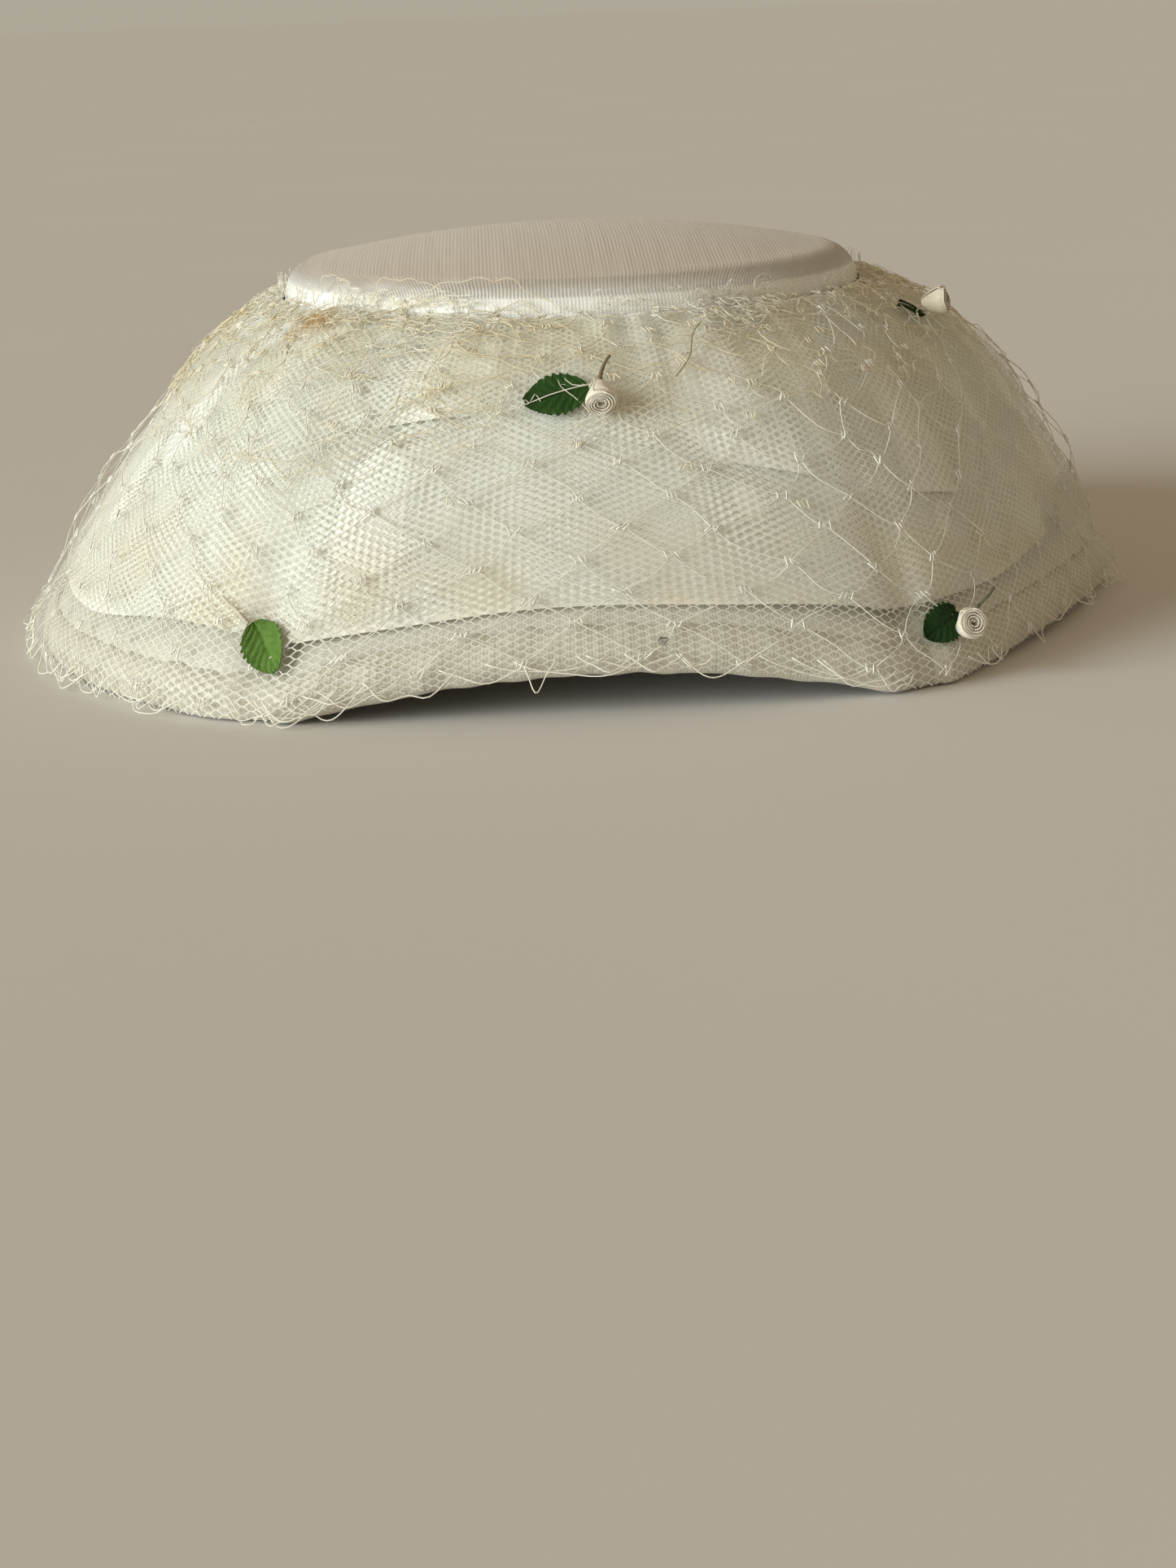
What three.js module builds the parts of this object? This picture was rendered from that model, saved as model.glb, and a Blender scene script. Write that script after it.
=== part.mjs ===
// A picture hat: a shallow silk crown and a six-cornered brim with a padded edge,
// tented over with fine tulle and a coarse net, and trimmed with rolled ribbon buds and leaves.
// Millimetres, +Z up. The origin is on the surface that the hat rests on, under the crown's centre,
// and the front of the hat faces -Y. Directions round the hat are degrees from the front,
// positive towards +X.

import * as THREE from "three";

// Gap between pieces that touch.
const CLEARANCE = 0.3;

// Crown, outside sizes. It stands on the headline, where the brim's inner rim meets it.
const HAT_HEIGHT = 123.5;
const CROWN_WIDTH = 185;
const CROWN_LENGTH = 194;
const CROWN_DOME = 8;
const CROWN_SHOULDER = 12;
const CROWN_WALL = 1.6;
const HEAD_WIDTH = 176;
const HEAD_LENGTH = 190;
const HEADLINE_HEIGHT = 49;
const HEADLINE_STAND = 6;

// Brim, out to its padded edge.
const BRIM_REACH = 176.5;
const BRIM_WALL = 2;
const CUSP_ANGLE = 33.5;
const SIDE_ANGLE = 90;
const LOBE_BULGE = 12;
const LOBE_ARCH = 12;
const PINCH_DEPTH = 5;
const PINCH_WIDTH = 7;
const VALLEY_DEPTH = 5;
const VALLEY_WIDTH = 16;

// Padded edge: a fabric roll with a slot in its top that holds the brim's rim.
const ROLL_HEIGHT = 15;
const ROLL_THICKNESS = 9;
const ROLL_SLOT_DEPTH = 7.5;
const ROLL_LEAN = 14;
const REST_FLAT = 1.2;
const REST_LENGTH = 8.6;

// Outer tulle, from the crown's side over the padded edge. It starts TULLE_DROP below the crown's top.
const TULLE_WALL = 1;
const TULLE_DROP = 18.5;
const TULLE_SLACK = 1.5;
const TULLE_FULLNESS = 5.5;
const TULLE_GATHER_DEPTH = 1.4;

// Under tulle, puffed and folded round the crown.
const SWATHE_WALL = 1;
const SWATHE_FOLDS = 9;
const SWATHE_FOLD_DEPTH = 0.1;

// Coarse net over the tulle.
const NET_WALL = 0.8;
const NET_STRAND = 1.3;
const NET_LIFT = 1.8;

// Trims: leaf and bud sizes, and the taped wire.
const LEAF_LENGTH = 20;
const LEAF_WIDTH = 13;
const LEAF_WALL = 0.8;
const BUD_DIAMETER = 10;
const BUD_LENGTH = 8;
const BUD_RIBBON = 0.95;
const BUD_CORE = 0.7;
const BUD_TURNS = 2.75;
const BUD_BASE = 0.45;
const STEM_DIAMETER = 1.2;

// The brim's corners, in order round the hat.
// reach: share of BRIM_REACH. lean: times ROLL_LEAN. pinch: share of PINCH_DEPTH.
// slack: share of TULLE_SLACK. full: share of TULLE_FULLNESS.
const CORNERS = [
  { at: -CUSP_ANGLE, reach: 1.025, lean: 1.4, pinch: 1, slack: 0, full: 0 },
  { at: CUSP_ANGLE, reach: 0.985, lean: 1.4, pinch: 1, slack: 0, full: 0 },
  { at: SIDE_ANGLE, reach: 1, lean: 2.2, pinch: 0, slack: 1, full: 1 },
  { at: 180 - CUSP_ANGLE, reach: 1, lean: 1.4, pinch: 1, slack: 0, full: 0 },
  { at: 180 + CUSP_ANGLE, reach: 1, lean: 1.4, pinch: 1, slack: 0, full: 0 },
  { at: 360 - SIDE_ANGLE, reach: 1, lean: 2.2, pinch: 0, slack: 1, full: -1.1 },
];

// The lobes between one corner and the next, from the front lobe.
// bulge: share of LOBE_BULGE, outward from the chord. arch: share of LOBE_ARCH, up from the corners.
// columns: how many meshes of the coarse net it carries.
const LOBES = [
  { bulge: 0.75, arch: 1, columns: 4 },
  { bulge: 0.7, arch: 0.25, columns: 3 },
  { bulge: 1.1, arch: 0.3, columns: 3 },
  { bulge: 0.9, arch: 1, columns: 4 },
  { bulge: 1.2, arch: 0.3, columns: 3 },
  { bulge: 1.7, arch: 0, columns: 3 },
];

// Brim section, from the headline to the slot. out: share of the run. down: share of the fall.
const BRIM_SECTION = [
  { out: 0, down: 0 },
  { out: 0.3, down: 0.11 },
  { out: 0.56, down: 0.31 },
  { out: 0.8, down: 0.61 },
];

// Outer tulle's section, from the crown to the roll's shoulder. out: share of the run. up: share of the rise.
const TENT_SECTION = [
  { out: 0, up: 1 },
  { out: 0.17, up: 0.92 },
  { out: 0.35, up: 0.815 },
  { out: 0.53, up: 0.65 },
  { out: 0.69, up: 0.467 },
  { out: 0.84, up: 0.27 },
  { out: 0.94, up: 0.11 },
];

// Under tulle's section. out: share of the tent's run. fill: share of the height from the brim to the tent.
const SWATHE_SECTION = [
  { out: 0.02, fill: 0.84 },
  { out: 0.3, fill: 0.8 },
  { out: 0.58, fill: 0.74 },
  { out: 0.7, fill: 0.5 },
  { out: 0.77, fill: 0.1 },
  { out: 0.82, fill: 0 },
];

// Levels of the coarse net's knots. at: share of the tulle's section. lift: share of NET_LIFT.
const NET_LEVELS = [
  { at: 0, lift: 0 },
  { at: 0.13, lift: 1 },
  { at: 0.27, lift: 1 },
  { at: 0.42, lift: 1 },
  { at: 0.58, lift: 1 },
  { at: 0.77, lift: 1 },
  { at: 0.93, lift: 1 },
];

// Places on the tulle. around: degrees from the front. along: share of the tulle's section.
// turn: degrees that the piece turns in the surface. long and broad: times LEAF_LENGTH and LEAF_WIDTH.
// tip and side: degrees that a bud's axis leans from the surface's normal, down the hat and round it.
const LEAVES = [
  { name: "leaf_front", around: -4, along: 0.293, turn: 194, long: 0.92, broad: 1.04 },
  { name: "leaf_left", around: -33.3, along: 0.848, turn: -48, long: 0.95, broad: 0.95 },
  { name: "leaf_right", around: 35.4, along: 0.88, turn: 200, long: 0.55, broad: 0.78 },
  { name: "leaf_side", around: 66.8, along: 0.158, turn: -50, long: 0.5, broad: 0.5 },
];
const BUDS = [
  { name: "bud_front", around: 1.6, along: 0.277, tip: 70, side: -6 },
  { name: "bud_right", around: 38.4, along: 0.902, tip: 0, side: -24 },
  { name: "bud_side", around: 71.5, along: 0.17, tip: 48, side: -6 },
];
// The stems run from the edge of a leaf or a bud, towards turn. length and bend are in mm.
const STEMS = [
  { name: "stem_left", from: "leaf_left", turn: 140, length: 11, bend: -1.5 },
  { name: "stem_front", from: "bud_front", turn: 84, length: 7.5, bend: 2.5 },
  { name: "stem_right", from: "bud_right", turn: 36, length: 11, bend: 1.5 },
];

const STATIONS_PER_LOBE = 10;
const CROWN_STATIONS = 36;

const rad = THREE.MathUtils.degToRad;
const lerp = THREE.MathUtils.lerp;

// Section points are { r, z }: the distance from the axis, and the height.
const inSpace = ({ r, z }, around) =>
  new THREE.Vector3(r * Math.sin(rad(around)), -r * Math.cos(rad(around)), z);

// Distance from the axis to the edge of an oval, in one direction.
function ovalRadius(width, length, around) {
  const across = Math.sin(rad(around)) / (width / 2);
  const along = Math.cos(rad(around)) / (length / 2);
  return 1 / Math.hypot(across, along);
}

// A closed body between an outer and an inner sheet that share their faces' numbering,
// with walls along the edges that only one face uses. Faces are polygons, counter-clockwise from outside.
function thickSheet(outer, inner, faces) {
  const positions = [...outer, ...inner].flatMap((p) => [p.x, p.y, p.z]);
  const index = [];
  const count = outer.length;
  const open = new Map();
  for (const face of faces) {
    for (let k = 1; k < face.length - 1; k++) {
      index.push(face[0], face[k], face[k + 1]);
      index.push(face[0] + count, face[k + 1] + count, face[k] + count);
    }
    face.forEach((a, k) => {
      const b = face[(k + 1) % face.length];
      if (!open.delete(`${b},${a}`)) open.set(`${a},${b}`, [a, b]);
    });
  }
  for (const [a, b] of open.values()) {
    index.push(a, a + count, b + count, a, b + count, b);
  }
  const geometry = new THREE.BufferGeometry();
  geometry.setAttribute("position", new THREE.Float32BufferAttribute(positions, 3));
  geometry.setIndex(index);
  geometry.computeVertexNormals();
  return geometry;
}

// Faces of a grid of rings, each `around` points long and closed on itself, from the innermost ring out.
function ringFaces(rings, around) {
  const faces = [];
  for (let ring = 0; ring < rings - 1; ring++) {
    for (let k = 0; k < around; k++) {
      const next = (k + 1) % around;
      const here = ring * around;
      faces.push([here + k, here + around + k, here + around + next, here + next]);
    }
  }
  return faces;
}

// A section moved sideways by `distance`, to its left as it runs outward and down when positive.
function offsetSection(section, distance) {
  const normals = section.slice(1).map((p, k) => {
    const length = Math.hypot(p.r - section[k].r, p.z - section[k].z);
    return { r: -(p.z - section[k].z) / length, z: (p.r - section[k].r) / length };
  });
  return section.map((p, k) => {
    const before = normals[Math.max(k - 1, 0)];
    const after = normals[Math.min(k, normals.length - 1)];
    const mitre = distance / (1 + before.r * after.r + before.z * after.z);
    return { r: p.r + (before.r + after.r) * mitre, z: p.z + (before.z + after.z) * mitre };
  });
}

// A shell of revolution-like sections: one outer section for each direction, thickened inward.
function shell(sections, directions, wall) {
  const inner = sections.map((section) => offsetSection(section, -wall));
  const rings = sections[0].length;
  const asPoints = (list) =>
    Array.from({ length: rings }, (_, ring) =>
      list.map((section, k) => inSpace(section[ring], directions[k])),
    ).flat();
  return thickSheet(asPoints(sections), asPoints(inner), ringFaces(rings, sections.length));
}

// A closed ring swept through one closed outline for each direction. Its faces are split from their
// upper corner, as those of a shell are, so that a slot in it follows the shell that stands in the slot.
function sweptRing(outlines, directions) {
  const sides = outlines[0].length;
  const around = outlines.length;
  const positions = outlines.flatMap((outline, k) =>
    outline.flatMap((p) => inSpace(p, directions[k]).toArray()),
  );
  const index = [];
  for (let k = 0; k < around; k++) {
    for (let s = 0; s < sides; s++) {
      const a = k * sides + s;
      const b = k * sides + ((s + 1) % sides);
      const c = ((k + 1) % around) * sides + ((s + 1) % sides);
      const d = ((k + 1) % around) * sides + s;
      const falling = outlines[k][s].z > outlines[k][(s + 1) % sides].z;
      if (falling) index.push(a, b, c, a, c, d);
      else index.push(a, b, d, b, c, d);
    }
  }
  const geometry = new THREE.BufferGeometry();
  geometry.setAttribute("position", new THREE.Float32BufferAttribute(positions, 3));
  geometry.setIndex(index);
  geometry.computeVertexNormals();
  return geometry;
}

// The padded edge at share u of a lobe: its direction, the centre of the roll's section, its lean,
// and how far into a pinch and how near a slack corner it is. pinch: share of the pinch that is followed.
function edgeAt(lobe, u, pinch = 1) {
  const from = CORNERS[lobe];
  const to = CORNERS[(lobe + 1) % CORNERS.length];
  const start = inSpace({ r: from.reach * BRIM_REACH, z: 0 }, from.at);
  const end = inSpace({ r: to.reach * BRIM_REACH, z: 0 }, to.at);
  const chord = end.clone().sub(start);
  const outward = new THREE.Vector3(chord.y, -chord.x, 0).normalize();
  const swell = 4 * u * (1 - u);
  const plan = start.clone().addScaledVector(chord, u);
  plan.addScaledVector(outward, LOBES[lobe].bulge * LOBE_BULGE * swell);
  const near = Math.min(u, 1 - u) * chord.length();
  const halfway = chord.length() / 2;
  const unrisen = Math.min((halfway - near) / (halfway - REST_LENGTH), 1);
  const corner = u < 0.5 ? from : to;
  const cornerShare = (1 - Math.min(u, 1 - u) * 2) ** 3;
  const pinched = corner.pinch * Math.exp(-((near / PINCH_WIDTH) ** 2));
  const lean = rad(ROLL_LEAN * lerp(1, corner.lean, cornerShare));
  const reach = plan.length() - pinch * PINCH_DEPTH * pinched;
  const foot = LOBES[lobe].arch * LOBE_ARCH * (1 - unrisen ** 2) - REST_FLAT;
  const [half, thick] = [ROLL_HEIGHT / 2, ROLL_THICKNESS / 2];
  return {
    around: THREE.MathUtils.radToDeg(Math.atan2(plan.x, -plan.y)),
    lean,
    core: {
      r: reach - Math.hypot(half * Math.sin(lean), thick * Math.cos(lean)),
      z: foot + Math.hypot(half * Math.cos(lean), thick * Math.sin(lean)),
    },
    valley: corner.pinch * Math.exp(-((near / VALLEY_WIDTH) ** 2)),
    slack: TULLE_SLACK * corner.slack * cornerShare,
    full: TULLE_FULLNESS * lerp(from.full, to.full, u * u * (3 - 2 * u)),
  };
}

// Every station of every lobe, closer together near the corners.
function edgeStations(pinch) {
  return LOBES.flatMap((_, lobe) =>
    Array.from({ length: STATIONS_PER_LOBE }, (_, k) => {
      const even = k / STATIONS_PER_LOBE;
      return edgeAt(lobe, even - (0.6 * Math.sin(2 * Math.PI * even)) / (2 * Math.PI), pinch);
    }),
  );
}

// The edge in any direction, found by halving the lobe that holds it.
function edgeToward(around) {
  const turned = ((around - CORNERS[0].at + 720) % 360) + CORNERS[0].at;
  const lobe = CORNERS.findLastIndex((corner) => corner.at <= turned);
  let [low, high] = [0, 1];
  for (let k = 0; k < 24; k++) {
    const middle = (low + high) / 2;
    const found = edgeAt(lobe, middle, 0).around;
    const ahead = ((found - turned + 540) % 360) - 180 > 0;
    if (ahead) high = middle;
    else low = middle;
  }
  return edgeAt(lobe, low, 0);
}

// A point in the roll's own section: across it outward, and along it upward.
function inRoll({ core, lean }, across, along) {
  return {
    r: core.r + across * Math.cos(lean) - along * Math.sin(lean),
    z: core.z + across * Math.sin(lean) + along * Math.cos(lean),
  };
}

// A point on the roll's oval, or on one that is `out` larger all round. angle: up from its outward side.
function onRoll(edge, angle, out) {
  const across = (ROLL_THICKNESS / 2 + out) * Math.cos(rad(angle));
  const along = (ROLL_HEIGHT / 2 + out) * Math.sin(rad(angle));
  return inRoll(edge, across, along);
}

// The crown's outer section, from its centre to its bottom edge.
function crownSection(around) {
  const side = ovalRadius(CROWN_WIDTH, CROWN_LENGTH, around);
  const base = ovalRadius(HEAD_WIDTH, HEAD_LENGTH, around);
  const flat = side - CROWN_SHOULDER;
  const shoulderHeight = HAT_HEIGHT - CROWN_DOME - CROWN_SHOULDER;
  const dome = [0.36, 0.72].map((share) => ({
    r: flat * share,
    z: HAT_HEIGHT - CROWN_DOME * share ** 2,
  }));
  const shoulder = [78, 52, 26, 0].map((angle) => ({
    r: flat + CROWN_SHOULDER * Math.cos(rad(angle)),
    z: shoulderHeight + CROWN_SHOULDER * Math.sin(rad(angle)),
  }));
  return [
    ...dome,
    ...shoulder,
    { r: base, z: HEADLINE_HEIGHT + HEADLINE_STAND },
    { r: base, z: HEADLINE_HEIGHT - BRIM_WALL },
  ];
}

function crownGeometry() {
  const directions = Array.from({ length: CROWN_STATIONS }, (_, k) => (k * 360) / CROWN_STATIONS);
  const sections = directions.map(crownSection);
  const inner = sections.map((section) => offsetSection(section, -CROWN_WALL));
  const rings = sections[0].length;
  const asPoints = (list, top) => [
    ...Array.from({ length: rings }, (_, ring) =>
      list.map((section, k) => inSpace(section[ring], directions[k])),
    ).flat(),
    new THREE.Vector3(0, 0, top),
  ];
  const centre = rings * CROWN_STATIONS;
  const cap = directions.map((_, k) => [centre, k, (k + 1) % CROWN_STATIONS]);
  return thickSheet(asPoints(sections, HAT_HEIGHT), asPoints(inner, HAT_HEIGHT - CROWN_WALL), [
    ...cap,
    ...ringFaces(rings, CROWN_STATIONS),
  ]);
}

// The brim's middle line, from the headline to the floor of the roll's slot. Its rim stands two gaps
// off the crown, because its straight sides are longer than the crown's.
function brimMiddle(edge) {
  const start = {
    r: ovalRadius(HEAD_WIDTH, HEAD_LENGTH, edge.around) + 2 * CLEARANCE,
    z: HEADLINE_HEIGHT,
  };
  const mouth = inRoll(edge, 0, ROLL_HEIGHT / 2 + BRIM_WALL);
  const floor = inRoll(edge, 0, ROLL_HEIGHT / 2 - ROLL_SLOT_DEPTH + CLEARANCE);
  const run = BRIM_SECTION.map(({ out, down }) => ({
    r: lerp(start.r, mouth.r, out),
    z: lerp(start.z, mouth.z, down) - VALLEY_DEPTH * edge.valley * out ** 2 * (1 - out) * 4,
  }));
  return [...run, mouth, floor];
}

function brimGeometry() {
  const edges = edgeStations(1);
  const sections = edges.map((edge) => offsetSection(brimMiddle(edge), BRIM_WALL / 2));
  return shell(sections, edges.map((edge) => edge.around), BRIM_WALL);
}

function rollGeometry() {
  const edges = edgeStations(1);
  const slot = BRIM_WALL / 2 + CLEARANCE;
  const lip = THREE.MathUtils.radToDeg(Math.acos(slot / (ROLL_THICKNESS / 2)));
  const angles = [lip, 36, 0, -36, -72, -108, -144, 180, 144, 180 - lip];
  const slotFloor = ROLL_HEIGHT / 2 - ROLL_SLOT_DEPTH;
  const outlines = edges.map((edge) =>
    [
      ...angles.map((angle) => onRoll(edge, angle, 0)),
      inRoll(edge, -slot, slotFloor),
      inRoll(edge, slot, slotFloor),
    ].map(({ r, z }) => ({ r, z: Math.max(z, 0) })),
  );
  return sweptRing(outlines, edges.map((edge) => edge.around));
}

// The outer tulle's outer section, from the crown's side to under the padded edge.
function tulleSection(edge) {
  const out = CLEARANCE + TULLE_WALL + edge.slack;
  const top = {
    r: ovalRadius(CROWN_WIDTH, CROWN_LENGTH, edge.around) + CLEARANCE + TULLE_WALL,
    z: HAT_HEIGHT - TULLE_DROP,
  };
  const [shoulder, ...wrap] = [34, 0, -40].map((angle) => onRoll(edge, angle, out));
  const tent = TENT_SECTION.map((row) => ({
    r: lerp(top.r, shoulder.r, row.out),
    z: lerp(shoulder.z, top.z, row.up) + edge.full * Math.sin(Math.PI * row.out ** 1.4),
  }));
  return [...tent, shoulder, ...wrap];
}

// Every other section sinks a little near the crown, where the tulle is gathered.
function tulleGeometry() {
  const edges = edgeStations(0.5);
  const sections = edges.map((edge, k) =>
    tulleSection(edge).map(({ r, z }, row) => {
      const fade = Math.max(1 - row / TENT_SECTION.length, 0) ** 2;
      return { r, z: z - (k % 2) * TULLE_GATHER_DEPTH * fade };
    }),
  );
  return shell(sections, edges.map((edge) => edge.around), TULLE_WALL);
}

// Height of a section at one distance from the axis.
function heightAt(section, r) {
  const k = Math.max(1, section.findIndex((p) => p.r >= r));
  const share = (r - section[k - 1].r) / (section[k].r - section[k - 1].r);
  return lerp(section[k - 1].z, section[k].z, share);
}

// The under tulle between the brim's top face and the outer tulle, in soft folds.
function swatheSection(edge) {
  const brim = offsetSection(brimMiddle(edge), BRIM_WALL / 2 + CLEARANCE + SWATHE_WALL);
  const tent = offsetSection(tulleSection(edge), -(TULLE_WALL + CLEARANCE));
  const run = tent[TENT_SECTION.length].r - tent[0].r;
  const fold = SWATHE_FOLD_DEPTH * Math.cos(rad(SWATHE_FOLDS * edge.around));
  return SWATHE_SECTION.map(({ out, fill }) => {
    const r = tent[0].r + out * run;
    return { r, z: lerp(heightAt(brim, r), heightAt(tent, r), fill * (1 + fold * (1 - out))) };
  });
}

function swatheGeometry() {
  const edges = edgeStations(1);
  return shell(edges.map(swatheSection), edges.map((edge) => edge.around), SWATHE_WALL);
}

// The place at a share of a section's length, with the section's outward normal there.
function alongSection(section, share) {
  const lengths = section.slice(1).map((p, k) => Math.hypot(p.r - section[k].r, p.z - section[k].z));
  let left = share * lengths.reduce((sum, length) => sum + length, 0);
  let k = 0;
  while (k < lengths.length - 1 && left > lengths[k]) left -= lengths[k++];
  const step = left / lengths[k];
  const normal = {
    r: -(section[k + 1].z - section[k].z) / lengths[k],
    z: (section[k + 1].r - section[k].r) / lengths[k],
  };
  return {
    r: lerp(section[k].r, section[k + 1].r, step),
    z: lerp(section[k].z, section[k + 1].z, step),
    normal,
    perDegree: 0,
  };
}

// The coarse net: diamond gaps between knots, which are staggered from level to level.
function netGeometry() {
  const columns = LOBES.flatMap(({ columns: count }, lobe) =>
    Array.from({ length: count }, (_, k) => ({ lobe, k, count })),
  );
  const outer = [];
  const inner = [];
  NET_LEVELS.forEach(({ at, lift }, level) => {
    for (const { lobe, k, count } of columns) {
      const edge = edgeAt(lobe, (k + ((level + 1) % 2) / 2) / count, 0);
      const section = tulleSection(edge);
      const place = (share, turn, height) => {
        const spot = alongSection(section, share);
        const raised = {
          r: spot.r + spot.normal.r * height,
          z: spot.z + spot.normal.z * height,
        };
        return inSpace(raised, edge.around + turn);
      };
      const half = NET_STRAND / Math.SQRT2;
      const length = sectionLength(section);
      const turn = THREE.MathUtils.radToDeg(half / alongSection(section, at).r);
      const rise = half / length;
      const low = CLEARANCE + NET_LIFT * lift;
      for (const [list, height] of [
        [outer, low + NET_WALL],
        [inner, low],
      ]) {
        list.push(
          place(Math.max(at - rise, 0), 0, height),
          place(at, turn, height),
          place(at + rise, 0, height),
          place(at, -turn, height),
        );
      }
    }
  });
  const [UP, RIGHT, DOWN, LEFT] = [0, 1, 2, 3];
  const count = columns.length;
  const knot = (level, k, corner) => (level * count + ((k + count) % count)) * 4 + corner;
  const faces = [];
  NET_LEVELS.forEach((_, level) => {
    columns.forEach((_, k) => {
      faces.push([UP, LEFT, DOWN, RIGHT].map((corner) => knot(level, k, corner)));
      if (level === NET_LEVELS.length - 1) return;
      const right = k + ((level + 1) % 2);
      const left = right - 1;
      faces.push([
        knot(level, k, RIGHT),
        knot(level, k, DOWN),
        knot(level + 1, right, LEFT),
        knot(level + 1, right, UP),
      ]);
      faces.push([
        knot(level, k, DOWN),
        knot(level, k, LEFT),
        knot(level + 1, left, UP),
        knot(level + 1, left, RIGHT),
      ]);
    });
  });
  return thickSheet(outer, inner, faces);
}

function sectionLength(section) {
  return section.slice(1).reduce((sum, p, k) => sum + Math.hypot(p.r - section[k].r, p.z - section[k].z), 0);
}

// The frame of a place on the tulle: its point, its outward normal, and the directions round and up the hat.
function tulleFrame(around, along) {
  const section = tulleSection(edgeToward(around));
  const spot = alongSection(section, along);
  const point = inSpace(spot, around);
  const normal = inSpace(spot.normal, around);
  const round = new THREE.Vector3(Math.cos(rad(around)), Math.sin(rad(around)), 0);
  const up = normal.clone().cross(round);
  return { point, normal, round, up, radius: spot.r, length: sectionLength(section) };
}

// A point that lies `right` and `up` of a place, measured on the tulle, and `height` above it.
function onTulle(place, right, up, height) {
  const { radius, length } = tulleFrame(place.around, place.along);
  const around = place.around + THREE.MathUtils.radToDeg(right / radius);
  const { point, normal } = tulleFrame(around, place.along - up / length);
  return point.addScaledVector(normal, height);
}

// A leaf lies on the tulle, with its base at the start of its midrib and small teeth along its sides.
function leafGeometry(place) {
  const [ROWS, COLUMNS] = [6, 4];
  const turn = rad(place.turn);
  const sheet = (height) => {
    const points = [];
    for (let row = 0; row <= ROWS; row++) {
      const along = row / ROWS;
      const tooth = row % 2 ? 1 : 0.93;
      const half = ((place.broad * LEAF_WIDTH) / 2) * Math.sin(Math.PI * (0.05 + 0.9 * along ** 0.85)) * tooth;
      for (let column = 0; column <= COLUMNS; column++) {
        const across = (half * (column * 2 - COLUMNS)) / COLUMNS;
        const run = place.long * LEAF_LENGTH * (along - 0.5);
        const right = run * Math.cos(turn) - across * Math.sin(turn);
        const up = run * Math.sin(turn) + across * Math.cos(turn);
        points.push(onTulle(place, right, up, height));
      }
    }
    return points;
  };
  const faces = [];
  for (let row = 0; row < ROWS; row++) {
    for (let column = 0; column < COLUMNS; column++) {
      const a = row * (COLUMNS + 1) + column;
      faces.push([a, a + COLUMNS + 1, a + COLUMNS + 2, a + 1]);
    }
  }
  return thickSheet(sheet(CLEARANCE + LEAF_WALL), sheet(CLEARANCE), faces);
}

// A bud is a ribbon rolled into a spiral that widens from its base to its face.
function budGeometry() {
  const STEPS = 27;
  const gap = CLEARANCE / 2;
  const pitch = (BUD_DIAMETER / 2 - BUD_CORE - BUD_RIBBON) / BUD_TURNS;
  const ribbon = Math.min(BUD_RIBBON, pitch - gap);
  const edge = (shift) =>
    Array.from({ length: STEPS + 1 }, (_, k) => {
      const turns = (k / STEPS) * BUD_TURNS;
      const r = BUD_CORE + pitch * turns + shift;
      return new THREE.Vector2(r * Math.cos(turns * 2 * Math.PI), r * Math.sin(turns * 2 * Math.PI));
    });
  const shape = new THREE.Shape([...edge(ribbon), ...edge(0).reverse()]);
  const geometry = new THREE.ExtrudeGeometry(shape, { depth: BUD_LENGTH, bevelEnabled: false });
  const position = geometry.getAttribute("position");
  for (let k = 0; k < position.count; k++) {
    const widen = lerp(BUD_BASE, 1, position.getZ(k) / BUD_LENGTH);
    position.setXY(k, position.getX(k) * widen, position.getY(k) * widen);
  }
  return geometry;
}

// How a bud stands: the matrix of its base on the tulle, raised clear of it for its lean.
function budMatrix(bud) {
  const { point, normal, round, up } = tulleFrame(bud.around, bud.along);
  const axis = normal.clone().addScaledVector(up, -Math.tan(rad(bud.tip)));
  axis.addScaledVector(round, Math.tan(rad(bud.side))).normalize();
  const leanAngle = axis.angleTo(normal);
  const reach = BUD_DIAMETER / 2;
  const baseDip = BUD_BASE * reach * Math.sin(leanAngle);
  const faceDip = reach * Math.sin(leanAngle) - BUD_LENGTH * Math.cos(leanAngle);
  const lift = CLEARANCE + Math.max(baseDip, faceDip);
  const right = up.clone().cross(axis).normalize();
  const matrix = new THREE.Matrix4().makeBasis(right, axis.clone().cross(right), axis);
  return matrix.setPosition(point.addScaledVector(normal, lift));
}

// A taped wire lies on the tulle and runs off from the edge of its leaf or bud.
function stemGeometry(stem) {
  const place = [...LEAVES, ...BUDS].find(({ name }) => name === stem.from);
  const turn = rad(stem.turn);
  const reach = place.long ? place.long * LEAF_LENGTH : BUD_BASE * BUD_DIAMETER;
  const start = (reach + STEM_DIAMETER) / 2 + CLEARANCE;
  const height = CLEARANCE + STEM_DIAMETER / 2;
  const points = [0, 0.35, 0.7, 1].map((share) => {
    const run = start + share * stem.length;
    const aside = stem.bend * share * share;
    const right = run * Math.cos(turn) + aside * Math.sin(turn);
    const up = run * Math.sin(turn) - aside * Math.cos(turn);
    return onTulle(place, right, up, height);
  });
  const outline = new THREE.Shape(
    Array.from({ length: 6 }, (_, k) => {
      const angle = (k * Math.PI) / 3;
      return new THREE.Vector2(Math.cos(angle), Math.sin(angle)).multiplyScalar(STEM_DIAMETER / 2);
    }),
  );
  const path = new THREE.CatmullRomCurve3(points);
  return new THREE.ExtrudeGeometry(outline, { steps: 5, extrudePath: path });
}

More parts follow.
